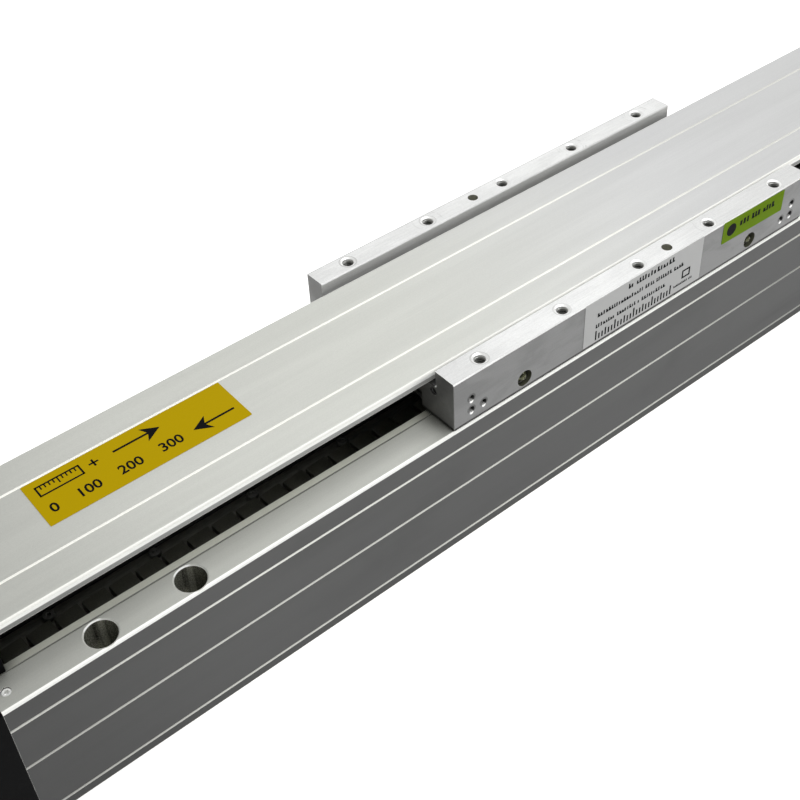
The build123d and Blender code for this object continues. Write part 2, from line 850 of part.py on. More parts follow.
def make_flag(side):
    # Bent sheet: a foot under the table and a blade that hangs into the light gate
    x = side * flag_middle
    x_range = (x - flag_length / 2, x + flag_length / 2)
    blade = [sensor_slot_row + half for half in (-flag_thickness / 2, flag_thickness / 2)]
    foot = (blade[0], blade[1] + flag_foot)
    foot_under = table_under - flag_thickness
    flag = block(x_range, blade, (flag_bottom, table_under))
    flag += block(x_range, foot, (foot_under, table_under))
    return flag - plain(m2, flag_thickness, Pos(x, flag_screw_row, foot_under))


def make_set_screw(x, row):
    top = down(x, row, ledge_height - head_recess)
    outline = RegularPolygon(set_screw_hexagon / 2, 6, major_radius=False)
    key = extrude(outline, amount=set_screw_hexagon)
    return rod(m3[0], set_screw_length, top) - top * key


# The base and what is fixed to it
save("base_extrusion", make_base())
save("top_cover", make_cover())
save("left_end_plate", make_end_plate(-1, with_grommet=False))
save("right_end_plate", make_end_plate(1, with_grommet=True))
save("cable_grommet", make_grommet())
save("left_cover_support", make_cover_support(-1))
save("right_cover_support", make_cover_support(1))
save("left_buffers", *make_buffers(-1))
save("right_buffers", *make_buffers(1))

plate_screws = []
support_screws = []
set_screws = []
for end in (-1, 1):
    plate_length = plate_face - m5[2] - head_recess - base_end + plate_grip
    plate_screws += [screw(m5, plate_length, seat) for seat in plate_screw_seats(end)]
    support_length = plate_face - m4[2] - head_recess - base_end + support_grip
    support_screws += [screw(m4, support_length, seat) for seat in support_screw_seats(end)]
    corner_x = end * (base_end - set_screw_inset)
    set_screws += [make_set_screw(corner_x, row) for row in (-mount_row, mount_row)]
save("end_plate_screws", *plate_screws)
save("support_screws", *support_screws)
save("ledge_set_screws", *set_screws)

cover_screw_length = cover_seat - cover_under + cover_grip
save("cover_screws", *[screw(m3, cover_screw_length, down(x, y, cover_seat)) for x, y in cover_screw_places])

# Rails, magnet track, scale and sensors
save("front_guide_rail", make_rail(-rail_row))
save("rear_guide_rail", make_rail(rail_row))
rail_screws = []
yoke_screws = []
for side in (-1, 1):
    for x in rail_hole_places:
        length = rail_screw_seat - pad_height + deck_grip
        rail_screws.append(screw(m2, length, down(x, side * rail_row, rail_screw_seat), hexagon=False))
    for x in yoke_screw_places:
        length = yoke_thickness + deck_grip
        yoke_screws.append(screw(m2_5, length, down(x, side * yoke_screw_row, yoke_top), hexagon=False))
save("rail_screws", *rail_screws)
save("magnet_yokes", *make_yokes())
save("magnets", *make_magnets())
save("yoke_screws", *yoke_screws)
save("encoder_scale", make_scale())
save("left_limit_sensor", make_limit_sensor(-1))
save("right_limit_sensor", make_limit_sensor(1))
sensor_screw_length = sensor_depth - sensor_seat_depth + small_grip
save("sensor_screws", *[screw(m2, sensor_screw_length, sensor_screw_seat(side)) for side in (-1, 1)])

# The carriage
save("carriage_table", make_table())
save("front_riser", make_riser(-rail_row))
save("rear_riser", make_riser(rail_row))
riser_screw_length = table_seat - table_under + riser_grip
save(
    "riser_screws",
    *[
        screw(m4, riser_screw_length, down(x, row, table_seat))
        for row in (-rail_row, rail_row)
        for x in riser_screw_places
    ],
)
for row_name, row in (("front", -rail_row), ("rear", rail_row)):
    for end_name, x in (("left", -block_offset), ("right", block_offset)):
        save(f"{row_name}_{end_name}_guide_block", make_guide_block(row, x))
        save(f"{row_name}_{end_name}_block_caps", *make_block_caps(row, x))
block_screw_length = riser_foot_height + block_grip
save(
    "block_screws",
    *[
        screw(m2, block_screw_length, down(*place, riser_foot_top), hexagon=False)
        for place in block_screw_places
    ],
)

coil_core = make_core()
coil_windings = make_windings()
save("coil_core", coil_core)
save("coil_windings", *coil_windings)
save("coil_potting", make_potting(coil_core, coil_windings))
save("coil_plate", make_coil_plate())
coil_screw_length = table_seat - table_under + coil_grip
save("coil_screws", *[screw(m4, coil_screw_length, down(x, y, table_seat)) for x, y in coil_screw_places])

save("encoder_head", make_encoder_head())
save("encoder_bracket", make_encoder_bracket())
encoder_screw_length = table_under - encoder_seat + small_grip
save(
    "encoder_screws",
    *[screw(m2, encoder_screw_length, Pos(x, y, encoder_seat)) for x, y in encoder_screw_places],
)
save("left_sensor_flag", make_flag(-1))
save("right_sensor_flag", make_flag(1))
flag_seat = table_under - flag_thickness
flag_screw_length = flag_thickness + small_grip
save("flag_screws", *[screw(m2, flag_screw_length, Pos(x, y, flag_seat)) for x, y in flag_screw_places])
save("grease_nipples", *[make_nipple(side, end) for side in (-1, 1) for end in (-1, 1)])
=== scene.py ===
import bpy
import bmesh
import fnmatch
import math
import random
from mathutils import Matrix, Vector


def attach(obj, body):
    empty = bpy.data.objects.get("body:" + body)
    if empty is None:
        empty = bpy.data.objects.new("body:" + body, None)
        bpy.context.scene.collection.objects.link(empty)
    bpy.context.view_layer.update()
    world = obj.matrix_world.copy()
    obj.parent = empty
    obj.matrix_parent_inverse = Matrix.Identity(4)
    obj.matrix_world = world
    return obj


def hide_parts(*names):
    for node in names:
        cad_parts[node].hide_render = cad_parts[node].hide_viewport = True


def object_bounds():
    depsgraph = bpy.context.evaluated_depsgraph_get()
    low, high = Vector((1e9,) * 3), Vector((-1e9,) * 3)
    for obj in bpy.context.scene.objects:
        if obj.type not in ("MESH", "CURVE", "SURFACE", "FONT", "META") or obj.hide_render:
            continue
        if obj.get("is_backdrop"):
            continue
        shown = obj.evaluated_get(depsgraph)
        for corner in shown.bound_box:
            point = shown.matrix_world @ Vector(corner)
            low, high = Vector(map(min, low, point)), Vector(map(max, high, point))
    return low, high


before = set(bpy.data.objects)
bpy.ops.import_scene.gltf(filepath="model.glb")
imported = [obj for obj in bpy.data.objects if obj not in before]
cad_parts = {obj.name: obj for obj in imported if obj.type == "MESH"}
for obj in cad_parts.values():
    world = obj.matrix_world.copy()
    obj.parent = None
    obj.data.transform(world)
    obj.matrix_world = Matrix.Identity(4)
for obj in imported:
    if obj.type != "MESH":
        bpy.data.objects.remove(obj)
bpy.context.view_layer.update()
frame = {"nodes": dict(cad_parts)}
scene = bpy.context.scene
mm = 0.001
black = (0.0, 0.0, 0.0)
floatSocket = "NodeSocketFloat"


# small helpers for node trees

class Value:
    # an output of a node that is reckoned with like a number: each step adds a math node
    def __init__(self, socket):
        self.socket, self.tree = socket, socket.id_data


def treeOf(values):
    return next(value.tree for value in values if isinstance(value, Value))


def addNode(tree, kind, sources=(), **settings):
    # a node with its settings; its inputs are fed by name or number
    node = tree.nodes.new(kind)
    for name, value in settings.items():
        setattr(node, name, value)
    for key, source in dict(sources).items():
        feed(node.inputs[key], source)
    return node


def feed(socket, source):
    source = getattr(source, "socket", source)
    if isinstance(source, bpy.types.NodeSocket):
        socket.id_data.links.new(source, socket)
    elif source is not None:
        socket.default_value = source


def calc(operation, *values, clamp=False):
    node = addNode(treeOf(values), "ShaderNodeMath", enumerate(values), operation=operation, use_clamp=clamp)
    return Value(node.outputs[0])


for sign, operation in (("add", "ADD"), ("sub", "SUBTRACT"), ("mul", "MULTIPLY"), ("truediv", "DIVIDE"),
                        ("pow", "POWER"), ("lt", "LESS_THAN"), ("gt", "GREATER_THAN"), ("abs", "ABSOLUTE"),
                        ("round", "ROUND")):
    setattr(Value, f"__{sign}__", lambda *values, operation=operation: calc(operation, *values))
    setattr(Value, f"__r{sign}__", lambda value, other, operation=operation: calc(operation, other, value))


def extreme(operation, values):
    result = values[0]
    for other in values[1:]:
        result = calc(operation, result, other)
    return result


def distance(first, second):
    return calc("SQRT", first ** 2.0 + second ** 2.0)


def rise(value, low, high, lowOut=0.0, highOut=1.0):
    sources = {"Value": value, "From Min": low, "From Max": high, "To Min": lowOut, "To Max": highOut}
    node = addNode(value.tree, "ShaderNodeMapRange", sources, interpolation_type="SMOOTHSTEP")
    return Value(node.outputs["Result"])


def fall(value, low, high):
    return rise(value, low, high, 1.0, 0.0)


def stretch(vector, factors):
    node = addNode(vector.tree, "ShaderNodeVectorMath", {0: vector, 1: factors}, operation="MULTIPLY")
    return Value(node.outputs[0])


def scaled(point, along, across):
    factors = addNode(point.tree, "ShaderNodeCombineXYZ", {0: along, 1: across, 2: across})
    return stretch(point, factors.outputs[0])


def split(vector):
    return [Value(socket) for socket in addNode(vector.tree, "ShaderNodeSeparateXYZ", {0: vector}).outputs]


def splitMillimetres(point):
    return split(stretch(point, (1000.0, 1000.0, 1000.0)))


def mix(amount, first, second, blend="MIX"):
    colours = [(*value, 1.0) if isinstance(value, tuple) else value for value in (first, second)]
    node = addNode(treeOf((amount, first, second)), "ShaderNodeMix", {0: amount, 6: colours[0], 7: colours[1]},
                   data_type="RGBA", blend_type=blend)
    return Value(node.outputs[2])


def toned(colour, tone):
    shade = addNode(tone.tree, "ShaderNodeCombineColor", {0: tone, 1: tone, 2: tone})
    return mix(1.0, colour, shade.outputs[0], "MULTIPLY")


def noise(vector, detail=2.0, roughness=0.5, distortion=0.0):
    sources = {"Vector": vector, "Scale": 1.0, "Detail": detail, "Roughness": roughness, "Distortion": distortion}
    return Value(addNode(vector.tree, "ShaderNodeTexNoise", sources).outputs[0])


def faceNormal(tree):
    return Value(addNode(tree, "ShaderNodeNewGeometry").outputs["Normal"])


def named(sockets):
    return {socket.name: Value(socket) for socket in sockets}


def newGroup(name, inputs, outputs, kind="ShaderNodeTree"):
    tree = bpy.data.node_groups.new(name, kind)
    for label, socketType, value in inputs:
        socket = tree.interface.new_socket(label, in_out="INPUT", socket_type=socketType)
        if value is not None:
            socket.default_value = value
    for label, socketType in outputs:
        tree.interface.new_socket(label, in_out="OUTPUT", socket_type=socketType)
    return tree, named(tree.nodes.new("NodeGroupInput").outputs), tree.nodes.new("NodeGroupOutput").inputs


def newEffect(name, outputs, hasPoint=True, **sizes):
    inputs = [("Point", "NodeSocketVector", None)] if hasPoint else []
    inputs += [(label, floatSocket, value) for label, value in sizes.items()]
    return newGroup(name, inputs, [(label, floatSocket) for label in outputs.split()])


def useGroup(tree, group, **values):
    return named(addNode(tree, "ShaderNodeGroup", values, node_tree=group).outputs)


# surface effects that several finishes share

print("surface effects")


def makeGrain():
    # even grain, or lines where one direction is stretched; sizes are millimetres
    tree, given, out = newEffect("grain", "Value", Size=1.0, Long=1.0)
    scale = 1000.0 / given["Size"]
    feed(out["Value"], noise(scaled(given["Point"], scale / given["Long"], scale)))
    return tree


def makeSmudge():
    # soft cloudy handling marks
    tree, given, out = newEffect("smudge", "Mask", Size=20.0, Cover=0.5)
    scale = 1000.0 / given["Size"]
    cloud = noise(scaled(given["Point"], scale * 0.35, scale), 4.0, 0.6, 0.6)
    low = 0.75 - given["Cover"] * 0.5
    feed(out["Mask"], rise(cloud, low, low + 0.22))
    return tree


def makeFacing():
    # which way a face looks: up, to a side, to an end or aslant
    tree, given, out = newEffect("facing", "Top Side End Slope Across Along", False, Sharp=0.75)
    normal = split(faceNormal(tree))
    feed(out["Along"], normal[0])
    feed(out["Across"], normal[1])
    sizes = [abs(part) for part in normal]
    for label, part in (("Top", normal[2]), ("Side", sizes[1]), ("End", sizes[0])):
        feed(out[label], rise(part, given["Sharp"], 0.97))
    flat = [rise(normal[2], 0.972, 0.993), rise(extreme("MAXIMUM", sizes), 0.993, 0.9995)]
    feed(out["Slope"], 1.0 - extreme("MAXIMUM", flat))
    return tree


def makeLengthTones():
    # painted light along the length: darker at the left end, and a more even grey and a little darker towards the right
    tree, given, out = newEffect("length tones", "Left Cool Dull")
    along = split(given["Point"])[0]
    feed(out["Left"], fall(along, -0.26, -0.17))
    feed(out["Cool"], rise(along, -0.1, 0.07))
    feed(out["Dull"], rise(along, -0.03, 0.13))
    return tree


def makeEdgeWearShine():
    # bright edges, partly wear and partly painted highlight: where the rounded normal leaves the face's own
    tree, given, out = newEffect("edge wear and shine", "Mask", Width=0.4)
    bevel = addNode(tree, "ShaderNodeBevel", {"Radius": given["Width"] * mm}, samples=4)
    normals = {0: bevel.outputs[0], 1: faceNormal(tree)}
    dot = addNode(tree, "ShaderNodeVectorMath", normals, operation="DOT_PRODUCT")
    edge = rise(1.0 - Value(dot.outputs["Value"]), 0.02, 0.2)
    worn = rise(noise(stretch(given["Point"], (350.0, 350.0, 350.0)), 3.0), 0.3, 0.6, 0.35, 1.0)
    feed(out["Mask"], calc("MULTIPLY", edge, worn, clamp=True))
    return tree


def makeContact():
    # how open a point is: soft shade near standing faces and a tight dark line right at them
    tree, given, out = newEffect("contact shade", "Soft Line", False, Reach=8.0, Tight=1.6)
    for label, size, low, high in (("Soft", "Reach", 0.45, 0.95), ("Line", "Tight", 0.5, 0.72)):
        openness = addNode(tree, "ShaderNodeAmbientOcclusion", {"Distance": given[size] * mm}, samples=6)
        feed(out[label], fall(Value(openness.outputs["AO"]), low, high))
    return tree


def makeRings():
    # rub rings round evenly pitched holes in two rows, each broken up and of its own strength
    tree, given, out = newEffect("ring marks", "Mask Reach", Pitch=37.5, Row=35.2, Radius=6.0, Width=0.5)
    along, across = splitMillimetres(given["Point"])[:2]
    cell = round(along / given["Pitch"])
    reach = distance(along - cell * given["Pitch"], abs(across) - given["Row"])
    chance = addNode(tree, "ShaderNodeTexWhiteNoise", {"W": cell + calc("SIGN", across)}, noise_dimensions="1D")
    own = Value(chance.outputs["Value"])
    band = fall(abs(reach - (given["Radius"] + own * 0.9)), 0.0, given["Width"])
    patches = noise(stretch(given["Point"], (260.0, 260.0, 0.0)), 2.0)
    feed(out["Mask"], band * rise(patches, 0.45, 0.6) * rise(own, 0.2, 0.9))
    feed(out["Reach"], reach)
    return tree


ledgeZones = {"holes": (15.0, 188.5, 218.5), "holeRow": 34.0, "boreTop": 55.1, "rim": 5.6, "lipLow": 54.35,
              "seam": 28.1}


def makeLedgeZones():
    # where a point of the base lies: in a counterbored hole, on the sloping lip or in the seam behind it
    zones = ledgeZones
    tree, given, out = newEffect("ledge zones", "Bore Rim Lip Seam", Radius=5.05)
    end, side, height = [abs(part) for part in splitMillimetres(given["Point"])]
    near = extreme("MINIMUM", [abs(end - hole) for hole in zones["holes"]])
    reach = distance(near, side - zones["holeRow"])
    inside = reach < given["Radius"]
    high = height > zones["lipLow"]
    feed(out["Bore"], inside * (height < zones["boreTop"]))
    feed(out["Rim"], ((reach < zones["rim"]) - inside) * high)
    feed(out["Lip"], high * (side < zones["seam"] - 0.18))
    feed(out["Seam"], high * fall(abs(side - zones["seam"]), 0.26, 0.55))
    return tree


sideBores = ((82.5, 61.0), (82.5, 66.0), (77.1, 61.0))
greasePorts = ((58.5, 60.3),)


def makeSideBores():
    # the bars' outer sides: inside the small holes, their sunk rims, the glint low in each and the grease ports
    tree, given, out = newEffect("side bores", "Mask Rim Glint Port", Radius=1.4)
    place = splitMillimetres(given["Point"])
    end, up = abs(place[0]), place[2]
    reach = {}
    for label, spots, lift in (("hole", sideBores, 0.15), ("glint", sideBores, -1.35), ("port", greasePorts, 0.0)):
        reach[label] = extreme("MINIMUM", [distance(end - x, up - (z + lift)) for x, z in spots])
    feed(out["Mask"], reach["hole"] < given["Radius"])
    feed(out["Rim"], fall(reach["hole"], 1.65, 1.95))
    feed(out["Glint"], fall(reach["glint"], 0.62, 0.95))
    feed(out["Port"], reach["port"] < 3.3)
    return tree


grainGroup = makeGrain()
smudgeGroup = makeSmudge()
facingGroup = makeFacing()
edgeWearShineGroup = makeEdgeWearShine()
lengthGroup = makeLengthTones()
contactGroup = makeContact()
ringGroup = makeRings()
ledgeGroup = makeLedgeZones()
sideBoreGroup = makeSideBores()


def grain(point, size, lengthways=1.0):
    return useGroup(point.tree, grainGroup, Point=point, Size=size, Long=lengthways)["Value"]


def smudge(point, size, cover):
    return useGroup(point.tree, smudgeGroup, Point=point, Size=size, Cover=cover)["Mask"]


def edgeWearShine(point, width):
    return useGroup(point.tree, edgeWearShineGroup, Point=point, Width=width)["Mask"]


# finishes

print("finishes")


def startMaterial(name, roughness, metallic, colour):
    material = bpy.data.materials.new(name)
    material.use_nodes = True
    tree = material.node_tree
    inputs = tree.nodes["Principled BSDF"].inputs
    inputs["Base Color"].default_value = material.diffuse_color = (*colour, 1.0)
    inputs["Roughness"].default_value = roughness
    inputs["Metallic"].default_value = metallic
    return material, inputs, Value(addNode(tree, "ShaderNodeTexCoord").outputs["Object"])


def finishMaterial(inputs, colour, rough, height, strength, depth):
    # links what the surface changes over itself; the depth is in millimetres
    bump = addNode(height.tree, "ShaderNodeBump", {"Strength": strength, "Distance": depth * mm, "Height": height})
    for label, source in (("Base Color", colour), ("Roughness", rough), ("Normal", bump.outputs[0])):
        feed(inputs[label], source)


# the side colours are painted shade on the faces that look sideways; the lip, edge, brightest-edge and lit-rim colours
# are painted highlights; the two bore colours paint lit and shaded bore walls; leftDark is painted shade at the left
# end and bandLow the lower edge of a painted bright band on the cover's sides
anodisedLook = {
    "ledge": (0.58, 0.585, 0.545), "side": (0.079, 0.079, 0.079), "coverTop": (0.6, 0.605, 0.568),
    "coverSide": (0.32, 0.322, 0.315), "lip": (0.84, 0.85, 0.75), "seam": (0.36, 0.36, 0.33),
    "edge": (0.92, 0.915, 0.87), "rubbedShine": (1.0, 1.0, 0.97), "litRim": (1.0, 1.0, 0.98),
    "bore": (0.42, 0.42, 0.35), "boreDark": (0.13, 0.13, 0.105), "shade": (0.03, 0.03, 0.024),
    "leftDark": 0.17, "metallic": 0.4, "roughness": 0.48, "blastSize": 0.28, "drawnPitch": 0.35, "bandLow": 0.072,
}


def makeAnodised(name, topColour, shadedSideColour, grooves, holes):
    look = anodisedLook
    material, inputs, point = startMaterial(name, look["roughness"], look["metallic"], topColour)
    blast = grain(point, look["blastSize"], 1.4)
    drawn = grain(point, look["drawnPitch"], 160.0)
    facing = useGroup(point.tree, facingGroup, Sharp=0.9)
    length = useGroup(point.tree, lengthGroup, Point=point)
    across, high = split(point)[1:]
    even = sum(topColour) / 3
    # painted light along the length: the top turns an even grey and a little darker towards the right
    colour = mix(length["Cool"], topColour, (even, even, even))
    colour = mix(length["Dull"] * 0.05, colour, black)
    # painted shade: faces that look sideways take the dark side colour, darker still towards the right and at the left
    # end
    side = mix(length["Dull"] * 0.16, shadedSideColour, black)
    side = mix(length["Left"] * 0.18, side, black)
    colour = mix(facing["Side"], colour, side)
    # painted shade: a little darker at the left end
    colour = mix(length["Left"] * look["leftDark"], colour, black)
    if holes:
        zones = useGroup(point.tree, ledgeGroup, Point=point)
        # painted light: the sloping lip gets a lighter, warmer copy of the ledge colour, darker at the left end
        colour = mix(zones["Lip"], colour, mix(length["Left"] * 0.2, look["lip"], black))
        slope = facing["Slope"] * (1.0 - zones["Lip"])
        # painted highlight on the base's rounded edges and groove walls: dimmer low down, towards the right and at the
        # left end, brightest along the ledge's top edge
        edge = mix(length["Dull"] * rise(high, 0.03, 0.054, grooves[1], 0.2), look["edge"], black)
        edge = mix(rise(high, 0.03, 0.054, grooves[0], 0.0), edge, black)
        edge = mix(length["Left"] * rise(high, 0.049, 0.053, 0.3, 0.08), edge, black)
        edge = mix(rise(high, 0.053, 0.054, 0.0, 0.7), edge, look["rubbedShine"])
        foot = (0.3 + length["Dull"] * 0.28) * fall(high, 0.003, 0.0055)
        colour = mix(foot, colour, black)
        contact = useGroup(point.tree, contactGroup)
        colour = mix(contact["Soft"] * 0.72 * facing["Top"], colour, look["shade"])
    else:
        slope = facing["Slope"] * (1.0 - facing["Top"])
        # painted highlight on the cover's rounded edges and groove walls, dimmer on the middle grooves towards the
        # right
        dull = rise(abs(across), 0.016, 0.024, grooves[1], 0.0)
        edge = mix(length["Dull"] * dull, look["edge"], black)
        # painted highlight: a bright band along the top of the cover's sides
        band = rise(high, look["bandLow"] - 0.0002, look["bandLow"] + 0.0002)
        colour = mix(band * facing["Side"], colour, look["rubbedShine"])
    colour = mix(slope, colour, edge)  # painted highlight on groove walls and rounded edges
    tone = rise(grain(point, 6.0, 14.0), 0.3, 0.7, 0.965, 1.02) + rise(drawn, 0.25, 0.75, -0.012, 0.018)
    colour = toned(colour, tone + rise(blast, 0.3, 0.7, -0.035, 0.035))
    # bright edges in the edge colour, partly wear and partly painted highlight
    colour = mix(edgeWearShine(point, 0.35) * 0.5, colour, look["edge"])
    metal = look["metallic"] - slope * 0.3
    rough = look["roughness"] + rise(blast, 0.2, 0.8, -0.05, 0.06) + smudge(point, 26.0, 0.45) * 0.07
    if holes:
        colour = mix(zones["Seam"], colour, look["seam"])
        colour = mix(contact["Line"] * rise(high, 0.0535, 0.0548) * 0.9, colour, look["shade"])
        # the counterbored holes: walls in the dark bore colour as painted shade, lightened by tool marks and by a
        # painted reflection stripe on the walls that face one way
        toolMarks = grain(stretch(point, (1.0, 1.0, 0.04)), 1.7)
        paintedReflection = facing["Along"] * -0.43 + facing["Across"] * -0.9
        reflectionAndToolMarks = rise(paintedReflection, 0.965, 0.997, 0.0, 0.75) + rise(toolMarks, 0.35, 0.65, 0.0, 0.3)
        colour = mix(zones["Bore"], colour, mix(reflectionAndToolMarks, look["boreDark"], look["bore"]))
        rough = rough - zones["Bore"] * 0.22
        metal = metal + zones["Bore"] * 0.3
        lit = facing["Along"] * 0.12 - facing["Across"]
        rim = mix(rise(lit, 0.54, 0.63), look["ledge"], look["litRim"])
        colour = mix(zones["Rim"] * facing["Slope"], colour, rim)
    feed(inputs["Metallic"], metal)
    finishMaterial(inputs, colour, rough, blast + drawn * 0.6, 0.22, 0.02)
    return material


# the side and end colours are painted shade on the outer sides and the ends; sunkRim, port and deep paint shade round
# and in the small holes, in the grease ports, in the bores, along the foot and on the web; corner is painted shade on
# the upright edges at the ends; glint and the chamfer colour are painted highlights; the worn colour is edge wear and
# painted light in the bores
milledLook = {
    "colour": (0.78, 0.78, 0.775), "shadedSideColour": (0.2, 0.2, 0.2), "shadedEndColour": (0.18, 0.18, 0.176),
    "innerSide": (0.75, 0.75, 0.745), "clouded": (0.78, 0.78, 0.78), "dowel": (0.42, 0.42, 0.36),
    "sunkRim": (0.1, 0.1, 0.1), "port": (0.13, 0.132, 0.095), "corner": (0.16, 0.16, 0.16),
    "glint": (1.0, 1.0, 0.98), "chamfer": (1.0, 1.0, 0.99), "dull": (0.5, 0.5, 0.49),
    "deep": (0.02, 0.02, 0.02), "worn": (0.95, 0.95, 0.94), "roughness": 0.36, "cutterPitch": 0.3,
    "top": 76.0, "under": 56.6, "outerSide": 39.6, "holeRow": 35.2, "dowelPlace": 15.0,
}


def paintTable(point, facing, colour, rubShine):
    # the table's marks and painted light: rub rings, painted light and shade in the bores and the bars' side holes,
    # painted highlights and shade at the edges, and painted shade on the web
    look = milledLook
    along, across, up = splitMillimetres(point)
    # painted shade: the front bar's top darker towards its ends
    ends = rise(along, -85.0, -58.0, 0.13, 0.0) + rise(along, 5.0, 45.0, 0.0, 0.09)
    colour = mix(ends * (across < 0.0) * facing["Top"], colour, black)
    for radius, width, strength in ((5.2, 0.5, 0.75), (4.1, 0.35, 0.5)):
        ring = useGroup(point.tree, ringGroup, Point=point, Radius=radius, Width=width)["Mask"]
        colour = mix(ring * facing["Top"] * strength, colour, look["dull"])
    reach = useGroup(point.tree, ringGroup, Point=point)["Reach"]
    ring = fall(abs(reach - 3.12), 0.1, 0.36) * rise(along, -60.0, -8.0, 0.85, 0.12)
    colour = mix(ring * facing["Top"], colour, look["dull"])

    down = look["top"] - up
    # painted light in the threaded holes: bright near the mouth, deeper down bright on the walls that face one way and
    # dark on the rest
    lit = facing["Along"] * 0.77 - facing["Across"] * 0.635
    bore = mix(rise(lit, 0.1, 0.6), look["deep"], look["worn"])
    bore = mix(rise(down, 0.9, 2.3), look["worn"], bore)
    colour = mix((reach < 2.84) * (down > 0.02), colour, bore)
    dowel = (abs(along) - look["dowelPlace"]) ** 2.0 + (abs(across) - look["holeRow"]) ** 2.0
    colour = mix((dowel < 7.5) * (down > 0.05), colour, look["dowel"])

    inward = look["outerSide"] - abs(across)
    outer, sunk = inward < 2.0, inward > 0.02
    sides = useGroup(point.tree, sideBoreGroup, Point=point)
    # painted shade on the web between the bars, under the cover
    recess = (abs(across) < 29.9) * (1.0 - facing["End"])
    # painted shade in the bars' small holes, darker deeper in
    hole = mix(rise(inward, 0.5, 1.3), look["sunkRim"], look["deep"])
    for mask, paint in (
            # painted shade on the small holes' sunk rims and inside the grease ports
            (sides["Rim"] * outer, look["sunkRim"]),
            (sides["Port"] * sunk * outer, look["port"]),
            (sides["Mask"] * sunk, hole),
            (sides["Glint"] * outer, look["glint"]),
            (rise(up, 56.3, 56.95, 0.9, 0.0), look["deep"]),  # painted shade along the bars' foot
            (rise(up, 75.0, 75.5, 0.0, 0.25) * facing["Side"] * outer, look["deep"]),  # a darker line just below the top edge
            # painted highlight on the top outer chamfer
            ((up > 75.55) * facing["Slope"] * outer, look["chamfer"]),
            # painted shade on the upright edges at the ends
            ((abs(along) > 89.0) * outer * (up < 75.5) * facing["Slope"], look["corner"]),
            (rise(across, 38.8, 39.0, 0.0, 0.4) * facing["Top"], look["deep"]),  # a dark strip along the far edge of the top
            (recess * 0.92, look["deep"])):
        colour = mix(mask, colour, paint)
    # edge wear and painted highlight, kept to the top edges: none at the foot, faint lower down, none on the web or the
    # side holes' rims
    rubShine = rubShine * (up > look["under"]) * rise(up, 74.8, 75.6, 0.15, 1.0) * (1.0 - recess) * (1.0 - sides["Rim"])
    return colour, rubShine


def makeMilled(name, shadedSideColour, isTable):
    look = milledLook
    material, inputs, point = startMaterial(name, look["roughness"], 0.55, look["colour"])
    cutter = grain(point, look["cutterPitch"], 40.0)
    fine = grain(point, 0.22, 2.5)
    cloud = smudge(point, 9.0, 0.7)
    rubShine = edgeWearShine(point, 0.5)
    facing = useGroup(point.tree, facingGroup, Sharp=0.75)
    inner = facing["Across"] * splitMillimetres(point)[1] < 0.0
    # painted shade: outer side faces take the dark side colour, inner sides a colour near the top's
    colour = mix(facing["Side"], look["colour"], mix(inner, shadedSideColour, look["innerSide"]))
    # painted shade on the faces at the ends
    colour = mix(facing["End"], colour, look["shadedEndColour"])
    colour = mix(cloud * 0.3, colour, mix(1.0, colour, look["clouded"], "MULTIPLY"))
    colour = toned(colour, rise(cutter, 0.3, 0.7, 0.95, 1.03) + rise(fine, 0.3, 0.7, -0.05, 0.05))
    if isTable:
        colour, rubShine = paintTable(point, facing, colour, rubShine)
    # edge wear and painted highlight in the worn colour
    colour = mix(rubShine * 0.8, colour, look["worn"])
    rough = look["roughness"] + rise(cloud, 0.0, 1.0, -0.03, 0.1)
    finishMaterial(inputs, colour, rough, cutter + fine * 0.7, 0.25, 0.02)
    return material


def makeMetal(name, colour, worn, roughness, size=0.4, lengthways=1.0, bump=0.2, rubbedShine=0.5, metallic=1.0, width=0.3):
    # ground, turned or plated metal: lines or grain, clouds and bright edges that are partly wear and partly painted
    # highlight
    material, inputs, point = startMaterial(name, roughness, metallic, colour)
    lines = grain(point, size, lengthways)
    cloud = smudge(point, 7.0, 0.5)
    dark = tuple(part * 0.72 for part in colour)
    shade = mix(rise(lines, 0.3, 0.7), dark, colour)
    shade = mix(cloud * 0.25, shade, dark)
    shade = mix(edgeWearShine(point, width) * rubbedShine, shade, worn)
    finishMaterial(inputs, shade, roughness + rise(cloud, 0.0, 1.0, -0.04, 0.1), lines, bump, 0.015)
    return material


def makePlastic(name, colour, roughness, size=0.35, bump=0.3, worn=None, gloss=0.35):
    # moulded, cast or dyed: a fine pebbled skin with a little dust in its clouds
    material, inputs, point = startMaterial(name, roughness, 0.0, colour)
    inputs["Specular IOR Level"].default_value = gloss
    pebble = grain(point, size)
    light = tuple(part * 1.6 + 0.004 for part in colour)
    shade = mix(rise(pebble, 0.3, 0.7), colour, tuple(part * 0.8 for part in colour))
    shade = mix(smudge(point, 6.0, 0.5) * 0.35, shade, light)
    shade = mix(edgeWearShine(point, 0.3) * 0.5, shade, worn or light)
    finishMaterial(inputs, shade, roughness + rise(pebble, 0.2, 0.8, -0.05, 0.07), pebble, bump, 0.03)
    return material


def makeLayers(name, light, dark, roughness, metallic, axis, pitch, duty):
    # even stripes across one axis: laminations, turns of wire or scale lines
    material, inputs, point = startMaterial(name, roughness, metallic, light)
    step = calc("FRACT", split(point)[axis] / (pitch * mm))
    line = rise(1.0 - abs(step * 2.0 - 1.0), duty, duty + 0.2)
    spots = grain(point, 1.2, 2.0)
    shade = mix(line, dark, light)
    shade = mix(rise(spots, 0.4, 0.7, 0.0, 0.25), shade, dark)
    finishMaterial(inputs, shade, roughness + rise(spots, 0.3, 0.7, -0.05, 0.08), line, 0.4, 0.05)
    return material


